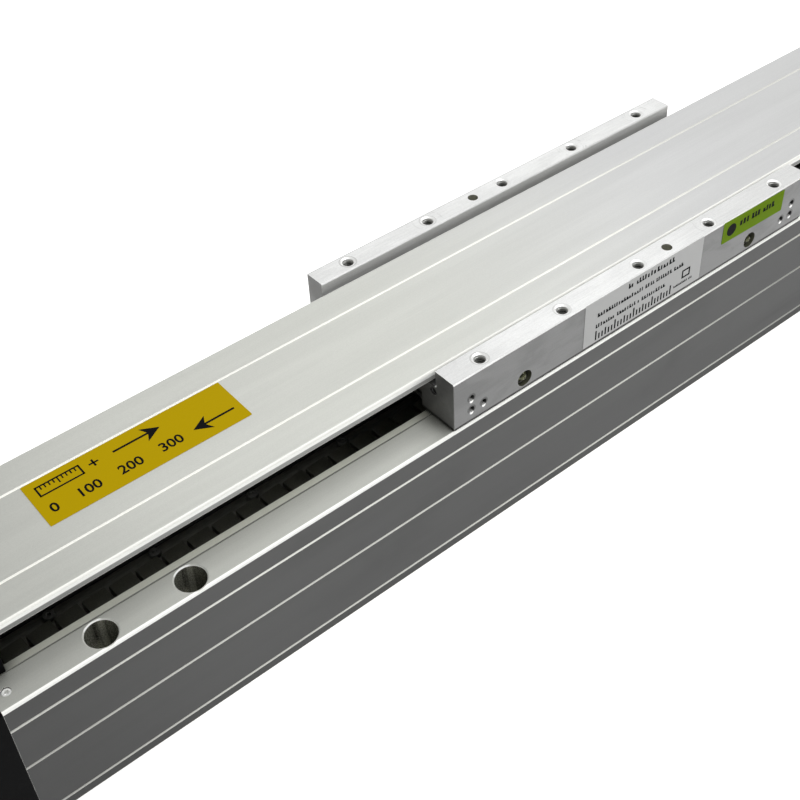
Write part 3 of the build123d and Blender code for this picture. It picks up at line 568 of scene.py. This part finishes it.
def makePrinted(name, colour, roughness):
    # printed film: even colour with faint clouds and a slightly wavy gloss
    material, inputs, point = startMaterial(name, roughness, 0.0, colour)
    inputs["Specular IOR Level"].default_value = 0.03
    cloud = smudge(point, 14.0, 0.6)
    fine = grain(point, 0.3)
    shade = mix(rise(fine, 0.3, 0.7, 0.0, 0.12), colour, tuple(part * 0.8 for part in colour))
    shade = mix(cloud * 0.14, shade, tuple(part * 0.86 + 0.004 for part in colour))
    finishMaterial(inputs, shade, roughness + rise(cloud, 0.0, 1.0, -0.03, 0.05), fine, 0.08, 0.02)
    return material


finish = {
    "base": makeAnodised("anodised base", anodisedLook["ledge"], anodisedLook["side"], (0.22, 0.5), True),
    "cover": makeAnodised("anodised cover", anodisedLook["coverTop"], anodisedLook["coverSide"], (0.0, 0.24), False),
    "table": makeMilled("milled table", milledLook["shadedSideColour"], True),
    "milled": makeMilled("milled inner parts", (0.5, 0.5, 0.49), False),
    "black": makePlastic("black anodised", (0.003, 0.003, 0.0033), 0.5, 0.3, 0.25, (0.07, 0.07, 0.07), 0.03),
    "rail": makeMetal("ground rail steel", (0.55, 0.55, 0.54), (0.75, 0.75, 0.74), 0.22, 0.25, 60.0, 0.25),
    "screw": makeMetal("zinc plated steel", (0.62, 0.62, 0.6), (0.85, 0.85, 0.84), 0.28, metallic=0.7),
    # painted highlight: the set screws are white and hardly metallic
    "setScrew": makeMetal("set screw painted highlight white", (1.0, 1.0, 0.98), (1.0, 1.0, 0.98), 0.3, metallic=0.1),
    "darkScrew": makeMetal("black oxide steel", (0.06, 0.06, 0.065), (0.35, 0.35, 0.35), 0.36),
    "yokeScrew": makeMetal("oiled screw steel", (0.22, 0.22, 0.21), (0.34, 0.34, 0.33), 0.42, rubbedShine=0.4, metallic=0.6),
    "yoke": makeMetal("oiled yoke steel", (0.3, 0.298, 0.27), (0.45, 0.45, 0.43), 0.4, 0.5, 8.0, 0.3, 0.4, 0.6),
    "magnet": makeMetal("coated magnets", (0.2, 0.2, 0.168), (0.36, 0.36, 0.3), 0.42, 0.35, 1.5, 0.3, 0.5, 0.6, 0.4),
    "flag": makeMetal("bent sheet steel", (0.5, 0.5, 0.49), (0.72, 0.72, 0.7), 0.3, 0.3, 20.0, 0.25),
    "brass": makeMetal("turned brass", (0.09, 0.094, 0.045), (0.85, 0.84, 0.66), 0.25, 0.3, rubbedShine=0.45, metallic=0.7),
    "thread": makeMetal("cut threads", (0.3, 0.3, 0.285), (0.62, 0.62, 0.6), 0.32, metallic=0.45),
    "deepThread": makeMetal("shaded threads", (0.16, 0.16, 0.158), (0.3, 0.3, 0.3), 0.4, rubbedShine=0.3, metallic=0.5),
    "core": makeLayers("laminated core", (0.3, 0.3, 0.3), (0.09, 0.09, 0.09), 0.4, 0.9, 1, 0.5, 0.12),
    "copper": makeLayers("enamelled windings", (0.62, 0.26, 0.1), (0.2, 0.07, 0.02), 0.28, 0.9, 2, 0.6, 0.15),
    "scale": makeLayers("ruled scale tape", (0.45, 0.43, 0.38), (0.12, 0.115, 0.1), 0.3, 0.9, 0, 1.0, 0.3),
    "potting": makePlastic("cast resin", (0.02, 0.02, 0.022), 0.38, 0.8),
    "rubber": makePlastic("buffer rubber", (0.02, 0.02, 0.02), 0.62, 0.3, 0.5),
    "cap": makePlastic("cap plastic", (0.05, 0.05, 0.055), 0.4),
    "sensor": makePlastic("sensor plastic", (0.022, 0.022, 0.024), 0.4),
    "yellow": makePrinted("yellow film", (0.42, 0.29, 0.0), 0.5),
    "white": makePrinted("white film", (0.51, 0.51, 0.51), 0.4),
    "green": makePrinted("green film", (0.13, 0.225, 0.0), 0.45),
    "ink": makePrinted("black ink", (0.005, 0.005, 0.006), 0.5),
}

nodeFinish = {  # finish: the nodes that have it
    "base": "base_extrusion", "cover": "top_cover", "table": "carriage_table",
    "milled": "*_riser coil_plate encoder_bracket", "black": "*_end_plate *_cover_support",
    "rail": "*_guide_rail *_guide_block", "yoke": "magnet_yokes", "core": "coil_core", "copper": "coil_windings",
    "potting": "coil_potting", "rubber": "*_buffers", "scale": "encoder_scale", "cap": "*_block_caps",
    "sensor": "*_limit_sensor encoder_head", "flag": "*_sensor_flag",
}
for key, patterns in nodeFinish.items():
    for pattern in patterns.split():
        for name in fnmatch.filter(frame["nodes"], pattern):
            node = frame["nodes"][name]
            if not node.material_slots:
                node.data.materials.append(None)
            for materialSlot in node.material_slots:
                materialSlot.material = finish[key]


# mesh helpers; sizes are millimetres

def plainMesh(name, work):
    # a mesh of its own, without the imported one's stored normals
    mesh = bpy.data.meshes.new(name)
    work.to_mesh(mesh)
    work.free()
    stored = mesh.attributes.get("custom_normal")
    if stored:
        mesh.attributes.remove(stored)
    return mesh


def asMesh(name, work):
    bmesh.ops.remove_doubles(work, verts=work.verts, dist=1e-7)
    bmesh.ops.recalc_face_normals(work, faces=work.faces)
    return plainMesh(name, work)


def joined(name, meshes):
    work = bmesh.new()
    for mesh in meshes:
        work.from_mesh(mesh)
        bpy.data.meshes.remove(mesh)
    return plainMesh(name, work)


def packedShape(node):
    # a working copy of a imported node's mesh, its loose triangles merged
    work = bmesh.new()
    work.from_mesh(frame["nodes"][node].data)
    bmesh.ops.remove_doubles(work, verts=work.verts, dist=1e-6)
    return work


def addObject(name, data):
    thing = bpy.data.objects.new(name, data)
    scene.collection.objects.link(thing)
    return thing


def meshOf(holder):
    # the plain mesh that a helper object gives; the helper goes
    mesh = bpy.data.meshes.new_from_object(holder.evaluated_get(bpy.context.evaluated_depsgraph_get()))
    bpy.data.objects.remove(holder)
    return mesh


def addPiece(name, mesh, key, body, smoothAngle=35.0):
    piece = addObject(name, mesh)
    mesh.materials.clear()
    mesh.materials.append(finish[key])
    mesh.shade_smooth()
    mesh.set_sharp_from_angle(angle=math.radians(smoothAngle))
    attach(piece, body)
    return piece


def hexRadius(halfFlats, angle):
    return halfFlats / math.cos((angle + math.pi / 6) % (math.pi / 3) - math.pi / 6)


def turned(name, rows, segments, flutes=0.0):
    # rows of (radius, height) from one end of the axis to the other, and "hex" or "knurl" where a row isn't round
    work = bmesh.new()
    rings = []
    for radius, height, *kind in rows:
        if radius == 0:
            rings.append([work.verts.new((0, 0, height * mm))])
            continue
        ring = []
        for index in range(segments):
            angle = 2 * math.pi * index / segments
            size = hexRadius(radius, angle) if "hex" in kind else radius
            if "knurl" in kind and index % 2:
                size -= flutes
            ring.append(work.verts.new((size * math.cos(angle) * mm, size * math.sin(angle) * mm, height * mm)))
        rings.append(ring)
    for lower, upper in zip(rings, rings[1:]):
        for index in range(segments):
            following = (index + 1) % segments
            corners = [lower[index % len(lower)], lower[following % len(lower)],
                       upper[following % len(upper)], upper[index % len(upper)]]
            corners = list(dict.fromkeys(corners))
            if len(corners) > 2:
                work.faces.new(corners)
    return asMesh(name, work)


def plate(name, outline, low, high, toWorld):
    # a thin plate from an outline in the label's own plane
    work = bmesh.new()
    bottom = [work.verts.new(toWorld @ Vector((x, y, low)) * mm) for x, y in outline]
    top = [work.verts.new(toWorld @ Vector((x, y, high)) * mm) for x, y in outline]
    work.faces.new(bottom)
    work.faces.new(top)
    count = len(outline)
    for index in range(count):
        following = (index + 1) % count
        work.faces.new((bottom[index], bottom[following], top[following], top[index]))
    return asMesh(name, work)


def roundedOutline(width, height, corner, steps=6):
    points = []
    for cx, cy, start in ((1, 1, 0), (-1, 1, 90), (-1, -1, 180), (1, -1, 270)):
        for step in range(steps + 1):
            angle = math.radians(start + 90 * step / steps)
            points.append((cx * (width / 2 - corner) + corner * math.cos(angle),
                           cy * (height / 2 - corner) + corner * math.sin(angle)))
    return points


def bar(x0, y0, x1, y1):
    return [(x0, y0), (x1, y0), (x1, y1), (x0, y1)]


def arrow(tail, tip, y, shaft=0.8, headLength=5.8, headHalf=3.3):
    way = 1 if tip > tail else -1
    neck = tip - way * headLength
    half = shaft / 2
    return [(tail, y - half), (neck + way * headLength * 0.25, y - half), (neck, y - headHalf), (tip, y),
            (neck, y + headHalf), (neck + way * headLength * 0.25, y + half), (tail, y + half)]


def disc(x, y, radius, steps=40):
    angles = [2 * math.pi * step / steps for step in range(steps)]
    return [(x + radius * math.cos(angle), y + radius * math.sin(angle)) for angle in angles]


def strokes(seed, left, right, y, tall, bold=0.74):
    # a row of short unreadable strokes in groups, as small print looks from afar
    chance = random.Random(seed)
    shapes = []
    x = left
    while x < right:
        wide = chance.uniform(0.4, 0.62) * tall
        drop = chance.choice((0.0, 0.0, 0.15, 0.3)) * tall
        shapes.append(bar(x, y - tall / 2, x + wide * bold, y + tall / 2 - drop))
        if chance.random() < 0.75:
            top = y - tall * chance.choice((0.2, 0.0, 0.2))
            shapes.append(bar(x + wide * 0.6, y - tall / 2, x + wide * 1.2, top))
        x += wide * 1.2 + 0.12 * tall + (0.5 * tall if chance.random() < 0.14 else 0.0)
    return shapes


def numbers(name, text, height, x, y, look, toWorld):
    low, high = look["film"], look["film"] + look["inkDepth"]
    curve = bpy.data.curves.new(name, "FONT")
    curve.body = text
    curve.size = height * 1.4
    curve.extrude = (high - low) / 2
    curve.offset = 0.1
    curve.resolution_u = 3
    mesh = meshOf(addObject(name, curve))
    bpy.data.curves.remove(curve)
    mesh.transform(Matrix.Diagonal((mm, mm, mm, 1)) @ toWorld @ Matrix.Translation((x, y, (high + low) / 2)))
    return mesh


# labels

print("labels")


def addLabel(name, look, key, body, toWorld, shapes, extra=()):
    # the film as a thin plate and its print as thinner plates on top
    low, high = look["film"], look["film"] + look["inkDepth"]
    outline = roundedOutline(*look["size"], look["corner"])
    addPiece(name, plate(name, outline, 0.0, low, toWorld), key, body)
    prints = [plate(name + "Part", shape, low, high, toWorld) for shape in shapes]
    addPiece(name + "Ink", joined(name + "Ink", [*prints, *extra]), "ink", body)


coverLabel = {"middle": (-179.75, 4.35, 74.0), "size": (70.5, 19.9), "corner": 0.4, "film": 0.12, "inkDepth": 0.03,
              "rows": (4.75, -3.65), "cross": -13.2}
flat = Matrix.Translation(coverLabel["middle"])
upper, lower = coverLabel["rows"]
cross = coverLabel["cross"]
marks = [bar(-32.2, upper - 2.4, -31.6, upper + 2.4), bar(-17.8, upper - 2.4, -17.2, upper + 2.4),
         bar(-32.2, upper - 2.4, -17.2, upper - 1.8), bar(-32.2, upper + 1.8, -17.2, upper + 2.4)]
for step in range(1, 10):
    x = -31.9 + step * 1.44
    marks.append(bar(x - 0.22, upper + (-0.6 if step == 5 else 0.4), x + 0.22, upper + 2.0))
marks += [bar(cross - 1.6, upper - 0.32, cross + 1.6, upper + 0.32),
          bar(cross - 0.32, upper - 1.6, cross + 0.32, upper + 1.6),
          arrow(-6.5, 10.15, upper), arrow(32.5, 17.4, lower)]
figures = numbers("coverLabelNumbers", "0    100    200    300", 3.9, -32.2, lower - 2.0, coverLabel, flat)
addLabel("coverLabel", coverLabel, "yellow", "base", flat, marks, [figures])

barLabel = {"middle": (-0.25, -39.6, 66.4), "size": (60.7, 19.0), "corner": 0.5, "film": 0.12, "inkDepth": 0.03,
            "lines": ((1, -9.0, 14.3, 2.4, 2.2), (2, -24.0, 19.5, 7.2, 1.7), (3, -24.6, 10.2, 11.9, 1.7),
                      (4, 16.0, 25.5, 15.9, 1.0))}  # seed, left, right, distance from the top, height
upright = Matrix.Translation(barLabel["middle"]) @ Matrix.Rotation(math.radians(90), 4, "X")
half = barLabel["size"][1] / 2
marks = []
for seed, left, right, row, tall in barLabel["lines"]:
    marks += strokes(seed, left, right, half - row, tall)
for step in range(25):
    tall = 5.0 if step % 6 == 0 else 4.2 if step % 3 == 0 else 3.4
    marks.append(bar(-24.6 + step * 1.6, 0.9 - half, -23.9 + step * 1.6, tall - half))
marks += [bar(20.0, -1.6, 24.4, -0.9), bar(20.0, -4.6, 24.4, -3.9), bar(20.0, -4.6, 20.7, -0.9),
          bar(23.7, -4.6, 24.4, -0.9)]
addLabel("barLabel", barLabel, "white", "carriage", upright, marks)

greenLabel = {"middle": (58.6, -39.6, 70.85), "size": (35.0, 9.4), "corner": 0.5, "turn": 1.2, "film": 0.12,
              "inkDepth": 0.03}
tilted = (Matrix.Translation(greenLabel["middle"]) @ Matrix.Rotation(math.radians(90), 4, "X")
          @ Matrix.Rotation(math.radians(-greenLabel["turn"]), 4, "Z"))
marks = [disc(-12.6, 0.0, 2.6)] + strokes(5, -7.8, 12.0, 0.85, 2.5, 0.9)
addLabel("greenLabel", greenLabel, "green", "carriage", tilted, marks)


# geometry node trees for what repeats

geometrySocket = "NodeSocketGeometry"


def grown(name, tree, start, values):
    # runs a tree on a start mesh and gives back the plain mesh
    holder = addObject(name, start)
    modifier = holder.modifiers.new("build", "NODES")
    modifier.node_group = tree
    for item in tree.interface.items_tree:
        if item.item_type == "SOCKET" and item.in_out == "INPUT" and item.name in values:
            modifier[item.identifier] = values[item.name]
    mesh = meshOf(holder)
    mesh.name = name
    return mesh


def pointMesh(name, places):
    # one point for each place, with the way it faces
    mesh = bpy.data.meshes.new(name)
    mesh.from_pydata([tuple(part * mm for part in place) for place, way in places], [], [])
    facing = mesh.attributes.new("facing", "FLOAT_VECTOR", "POINT")
    for item, (place, way) in zip(facing.data, places):
        item.vector = way
    return mesh


def facingRotation(tree):
    # the turn that brings a part's up to each point's own facing
    facing = addNode(tree, "GeometryNodeInputNamedAttribute", {"Name": "facing"}, data_type="FLOAT_VECTOR")
    aligned = addNode(tree, "FunctionNodeAlignRotationToVector", {"Vector": facing.outputs["Attribute"]}, axis="Z")
    return aligned.outputs[0]


def placeCopies(tree, given, out, instance, rotation):
    # one real copy on each point, in the given finish
    sources = {"Points": given["Geometry"], "Instance": instance, "Rotation": rotation}
    copies = addNode(tree, "GeometryNodeInstanceOnPoints", sources)
    real = addNode(tree, "GeometryNodeRealizeInstances", {0: copies.outputs[0]})
    painted = addNode(tree, "GeometryNodeSetMaterial", {"Geometry": real.outputs[0], "Material": given["Finish"]})
    feed(out[0], painted.outputs[0])


def makeScatterTree():
    # one copy of a part on each point, turned to the point's own facing and spun about it
    tree, given, out = newGroup("part on points", [
        ("Geometry", geometrySocket, None), ("Part", "NodeSocketObject", None), ("Spin", floatSocket, 6.283),
        ("Seed", "NodeSocketInt", 3), ("Finish", "NodeSocketMaterial", None),
    ], [("Geometry", geometrySocket)], "GeometryNodeTree")
    part = addNode(tree, "GeometryNodeObjectInfo", {"Object": given["Part"]})
    chance = addNode(tree, "FunctionNodeRandomValue", {2: 0.0, 3: given["Spin"], "Seed": given["Seed"]},
                     data_type="FLOAT")
    spin = addNode(tree, "ShaderNodeCombineXYZ", {2: chance.outputs[1]})
    euler = addNode(tree, "FunctionNodeEulerToRotation", {0: spin.outputs[0]})
    turn = addNode(tree, "FunctionNodeRotateRotation", {0: facingRotation(tree), 1: euler.outputs[0]},
                   rotation_space="LOCAL")
    placeCopies(tree, given, out, part.outputs["Geometry"], turn.outputs[0])
    return tree


def makeThreadTree():
    # the visible turns of a thread in each hole, from its mouth down
    tree, given, out = newGroup("threads in holes", [
        ("Geometry", geometrySocket, None), ("Radius", floatSocket, 0.002), ("Pitch", floatSocket, 0.0008),
        ("Turns", floatSocket, 8.0), ("Ridge", floatSocket, 0.0003), ("Finish", "NodeSocketMaterial", None),
    ], [("Geometry", geometrySocket)], "GeometryNodeTree")
    helix = addNode(tree, "GeometryNodeCurveSpiral", {
        "Resolution": 20, "Rotations": given["Turns"], "Start Radius": given["Radius"],
        "End Radius": given["Radius"], "Height": given["Turns"] * given["Pitch"]})
    section = addNode(tree, "GeometryNodeCurvePrimitiveCircle", {"Resolution": 4, "Radius": given["Ridge"]})
    ridge = addNode(tree, "GeometryNodeCurveToMesh", {
        "Curve": helix.outputs[0], "Profile Curve": section.outputs[0], "Fill Caps": True})
    placeCopies(tree, given, out, ridge.outputs[0], facingRotation(tree))
    return tree


scatterTree = makeScatterTree()
threadTree = makeThreadTree()


def scattered(name, partMesh, places, key, body, spin=6.283, seed=3):
    part = addObject(name + "Part", partMesh)
    values = {"Part": part, "Spin": spin, "Seed": seed, "Finish": finish[key]}
    mesh = grown(name, scatterTree, pointMesh(name + "Points", places), values)
    bpy.data.objects.remove(part)
    return addPiece(name, mesh, key, body)


# screws: every screw node gets real heads with hexagon sockets

print("screws")
screwSizes = {  # shank, head, head height, hexagon, segments
    "m2": (2.0, 3.8, 1.6, 1.5, 24), "m2half": (2.5, 4.5, 1.5, 1.5, 24), "m3": (3.0, 5.5, 2.0, 2.0, 36),
    "m4": (4.0, 7.0, 4.0, 3.0, 48), "m5": (5.0, 8.5, 5.0, 4.0, 48),
}
screwNodes = {  # node: size, axis of its head, body, finish
    "end_plate_screws": ("m5", 0, "base", "darkScrew"), "support_screws": ("m4", 0, "base", "darkScrew"),
    "cover_screws": ("m3", 2, "base", "screw"), "rail_screws": ("m2", 2, "base", "darkScrew"),
    "yoke_screws": ("m2half", 2, "base", "yokeScrew"), "sensor_screws": ("m2", 1, "base", "screw"),
    "riser_screws": ("m4", 2, "carriage", "darkScrew"), "block_screws": ("m2", 2, "carriage", "screw"),
    "coil_screws": ("m4", 2, "carriage", "darkScrew"), "encoder_screws": ("m2", -2, "carriage", "screw"),
    "flag_screws": ("m2", -2, "carriage", "screw"),
}


def islands(node):
    # boxes of a node's separate solids, in millimetres
    work = packedShape(node)
    left = set(work.verts)
    boxes = []
    while left:
        front = [left.pop()]
        group = []
        while front:
            vert = front.pop()
            group.append(vert.co.copy())
            for edge in vert.link_edges:
                other = edge.other_vert(vert)
                if other in left:
                    left.remove(other)
                    front.append(other)
        low = [min(point[axis] for point in group) / mm for axis in range(3)]
        top = [max(point[axis] for point in group) / mm for axis in range(3)]
        boxes.append((low, top))
    work.free()
    return sorted(boxes)


def middleOf(low, top):
    return [(a + b) / 2 for a, b in zip(low, top)]


def screwMesh(name, size, length):
    shank, head, tall, hexagon, segments = screwSizes[size]
    kind = "knurl" if segments > 30 else "round"
    edge = 0.08 * head
    depth = tall * 0.55
    rows = [
        (0, -tall - length), (shank * 0.36, -tall - length), (shank / 2, -tall - length + 0.3), (shank / 2, -tall),
        (head / 2 - 0.1, -tall), (head / 2, -tall + 0.12, kind), (head / 2, -edge - 0.2, kind),
        (head / 2 - 0.1, -edge), (head / 2 - edge, 0), (hexagon / 2 + 0.16, 0, "hex"), (hexagon / 2, -0.14, "hex"),
        (hexagon / 2, -depth, "hex"), (0, -depth - 0.3),
    ]
    return turned(name, rows, segments, 0.05 * head / 8)


for node, (size, axis, body, key) in screwNodes.items():
    places = []
    for low, top in islands(node):
        middle = middleOf(low, top)
        index = abs(axis)
        sign = 1.0 if (middle[0] if index == 0 else axis) > 0 else -1.0  # end screws point away from the middle
        way = [0.0, 0.0, 0.0]
        way[index] = sign
        middle[index] = top[index] if sign > 0 else low[index]
        length = top[index] - low[index] - screwSizes[size][2]
        places.append((middle, way))
    words = node.split("_")
    name = words[0] + "".join(word.title() for word in words[1:])
    piece = scattered(name, screwMesh(name + "Part", size, length), places, key, body)
    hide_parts(node)

setScrew = {"radius": 1.5, "hexagon": 0.75, "length": 5.0, "hexDepth": 1.4}
radius, hexagon, length = [setScrew[part] for part in ("radius", "hexagon", "length")]
rows = [(0, -length), (radius - 0.5, -length), (radius, -length + 0.4), (radius, -0.25), (radius - 0.22, 0),
        (hexagon + 0.1, 0, "hex"), (hexagon, -0.1, "hex"), (hexagon, -setScrew["hexDepth"], "hex"),
        (0, -setScrew["hexDepth"] - 0.3)]
places = [((*middleOf(low, top)[:2], top[2]), (0.0, 0.0, 1.0)) for low, top in islands("ledge_set_screws")]
piece = scattered("ledgeSetScrews", turned("setScrewPart", rows, 36), places, "setScrew", "base")
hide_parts("ledge_set_screws")


# threads in the carriage's holes

print("threads")
threadSets = {  # finish, radius, pitch, turns, ridge; places
    "tableThreads": ("thread", 2.12, 0.8, 14.0, 0.26, [
        ((x, side * 35.2, 75.25), (0, 0, -1)) for x in (-75.0, -37.5, 0.0, 37.5, 75.0) for side in (-1, 1)]),
    "sideThreads": ("deepThread", 1.26, 0.5, 8.0, 0.16, [
        ((end * x, side * 38.4, z), (0, -side, 0)) for end in (-1, 1) for side in (-1, 1) for x, z in sideBores]),
    "endThreads": ("deepThread", 1.66, 0.7, 10.0, 0.2, [
        ((end * 89.8, side * 29.3, 66.6), (-end, 0, 0)) for end in (-1, 1) for side in (-1, 1)]),
}
for name, (key, radius, pitch, turns, ridge, places) in threadSets.items():
    values = {"Radius": radius * mm, "Pitch": pitch * mm, "Turns": turns, "Ridge": ridge * mm, "Finish": finish[key]}
    mesh = grown(name, threadTree, pointMesh(name + "Points", places), values)
    addPiece(name, mesh, key, "carriage")


# cover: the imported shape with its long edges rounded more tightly

print("cover")
coverEdge = {"half": 27.9, "top": 74.0, "packedRadius": 1.5, "radius": 1.0}
half, top, packed, radius = coverEdge.values()
work = packedShape("top_cover")
for vert in work.verts:
    across = abs(vert.co.y) / mm - half + packed
    height = vert.co.z / mm - top + packed
    if across > -0.01 and height > -0.01:
        across = half - radius + across * (radius / packed)
        vert.co.y = math.copysign(across * mm, vert.co.y)
        vert.co.z = (top - radius + height * (radius / packed)) * mm
piece = addPiece("topCover", plainMesh("topCover", work), "cover", "base", 3.0)
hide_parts("top_cover")


# carriage table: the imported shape, the front bar's inner top edge a little nearer to the cover

print("carriage table")
barEdge = {"inner": 31.3, "low": 75.0, "nearer": 0.8}
work = packedShape("carriage_table")
for vert in work.verts:
    if -barEdge["inner"] * mm < vert.co.y < 0 and vert.co.z > barEdge["low"] * mm:
        vert.co.y += barEdge["nearer"] * mm
piece = addPiece("carriageTable", plainMesh("carriageTable", work), "table", "carriage", 28.0)
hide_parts("carriage_table")


# magnet track

print("magnet track")
magnetTrack = {"size": (9.0, 16.0, 4.0), "bevel": 0.45, "skew": 4.0}
work = bmesh.new()
bmesh.ops.create_cube(work, size=1.0)
for vert in work.verts:
    vert.co = Vector([part * size * mm for part, size in zip(vert.co, magnetTrack["size"])])
bmesh.ops.bevel(work, geom=work.edges[:], offset=magnetTrack["bevel"] * mm, segments=2, profile=0.5, affect="EDGES")
work.transform(Matrix.Rotation(math.radians(magnetTrack["skew"]), 4, "Z"))
magnetMesh = asMesh("magnetPart", work)
places = [(middleOf(low, top), (0.0, 0.0, 1.0)) for low, top in islands("magnets")]
piece = scattered("magnetTrack", magnetMesh, places, "magnet", "base", spin=0.0)
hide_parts("magnets")


# grease nipples and grommet

print("nipples and grommet")
nipple = {"segments": 36, "rows": [
    (0, -0.02), (3.1, -0.02), (3.1, 0.9), (2.95, 1.05), (2.2, 1.08, "hex"), (2.2, 2.3, "hex"), (2.0, 2.5),
    (0.95, 2.6), (0.85, 2.9), (1.15, 3.25), (1.15, 3.5), (0.85, 3.8), (0.45, 3.88), (0.35, 3.6), (0, 3.4),
]}
places = []
for low, top in islands("grease_nipples"):
    side = 1.0 if low[1] > 0 else -1.0
    foot = middleOf(low, top)
    foot[1] = low[1] if side > 0 else top[1]
    places.append((foot, (0.0, side, 0.0)))
mesh = turned("nipplePart", nipple["rows"], nipple["segments"])
piece = scattered("greaseNipples", mesh, places, "brass", "carriage")
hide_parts("grease_nipples")

grommet = {"segments": 64, "place": (252.0, 0.0, 39.0), "rows": [
    (2.5, 0.0), (6.0, 0.0), (6.0, 9.9), (7.45, 9.9), (7.5, 10.6), (7.2, 11.4), (6.3, 11.85), (4.6, 12.0),
    (3.4, 12.0), (2.7, 11.7), (2.5, 11.2), (2.5, 8.0), (2.7, 7.5), (2.5, 7.0), (2.5, 0.0),
]}
mesh = turned("cableGrommet", grommet["rows"], grommet["segments"])
mesh.transform(Matrix.Translation([part * mm for part in grommet["place"]])
               @ Matrix.Rotation(math.radians(90), 4, "Y"))
piece = addPiece("cableGrommet", mesh, "rubber", "base")
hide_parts("cable_grommet")


# floor, light and camera

print("floor, light and camera")
studio = {"lamp": (0.975, 0.985, 1.0), "floor": (0.86, 0.86, 0.855), "half": 8, "lift": 0.5,
          "world": (1.0, 1.0, 0.97), "worldLevel": 0.52}
half = studio["half"]
floorMesh = bpy.data.meshes.new("floor")
floorMesh.from_pydata([(-half, -half, 0), (half, -half, 0), (half, half, 0), (-half, half, 0)], [], [(0, 1, 2, 3)])
floor = addObject("floor", floorMesh)
material = bpy.data.materials.new("pale floor")
material.use_nodes = True
tree = material.node_tree
path = addNode(tree, "ShaderNodeLightPath")
rays = [Value(path.outputs[f"Is {kind} Ray"]) for kind in ("Camera", "Glossy", "Transmission")]
parts = {"Base Color": (*studio["floor"], 1.0), "Roughness": 0.9, "Specular IOR Level": 0.1,
         "Emission Color": (1.0, 1.0, 1.0, 1.0), "Emission Strength": extreme("MAXIMUM", rays) * studio["lift"]}
for label, part in parts.items():
    feed(tree.nodes["Principled BSDF"].inputs[label], part)
floorMesh.materials.append(material)
floor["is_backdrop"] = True

world = scene.world or bpy.data.worlds.new("studio")
scene.world = world
world.use_nodes = True
tree = world.node_tree
background = tree.nodes["Background"]
background.inputs["Color"].default_value = (*studio["world"], 1.0)
path = addNode(tree, "ShaderNodeLightPath")
level = addNode(tree, "ShaderNodeMapRange", {
    "Value": path.outputs["Is Camera Ray"], "To Min": studio["worldLevel"], "To Max": 1.0})
feed(background.inputs["Strength"], level.outputs["Result"])

lamps = {  # place, target, size across and along, power
    "overheadLamp": ((0.34, 0.0, 0.95), (0.1, 0.0, 0.05), (0.8, 0.6), 3.8),
    "rearLamp": ((1.4, 1.7, 1.4), (0.0, 0.0, 0.05), (1.6, 1.6), 5.2),
    "frontLamp": ((0.12, -0.62, 1.3), (0.0, 0.0, 0.05), (0.5, 0.3), 6.0),
}
for name, (place, target, (sizeX, sizeY), power) in lamps.items():
    light = bpy.data.lights.new(name, "AREA")
    light.shape = "RECTANGLE"
    light.size, light.size_y = sizeX, sizeY
    light.energy = power
    light.color = studio["lamp"]
    lamp = addObject(name, light)
    lamp.location = place
    lamp.rotation_euler = (Vector(target) - Vector(place)).to_track_quat("-Z", "Y").to_euler()

viewpoint = {
    "place": (-0.28321, -0.26573, 0.34932), "lens": 57.17, "shift": (-0.00487, -0.06097),
    "right": (0.771535, -0.635051, -0.037996), "down": (-0.438893, -0.488081, -0.75442),
    "ahead": (0.46055, 0.598738, -0.655291),
}
cameraData = bpy.data.cameras.new("camera")
cameraData.lens = viewpoint["lens"]
cameraData.sensor_width = 36.0
cameraData.shift_x, cameraData.shift_y = viewpoint["shift"]
cameraData.clip_start = 0.01
camera = addObject("camera", cameraData)
axes = [Vector(viewpoint["right"]), -Vector(viewpoint["down"]), -Vector(viewpoint["ahead"])]
turn = Matrix([[axis[row] for axis in axes] for row in range(3)]).to_4x4()
camera.matrix_world = Matrix.Translation(viewpoint["place"]) @ turn
scene.camera = camera
scene.view_settings.view_transform = "Standard"

low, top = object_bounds()
print("finished")
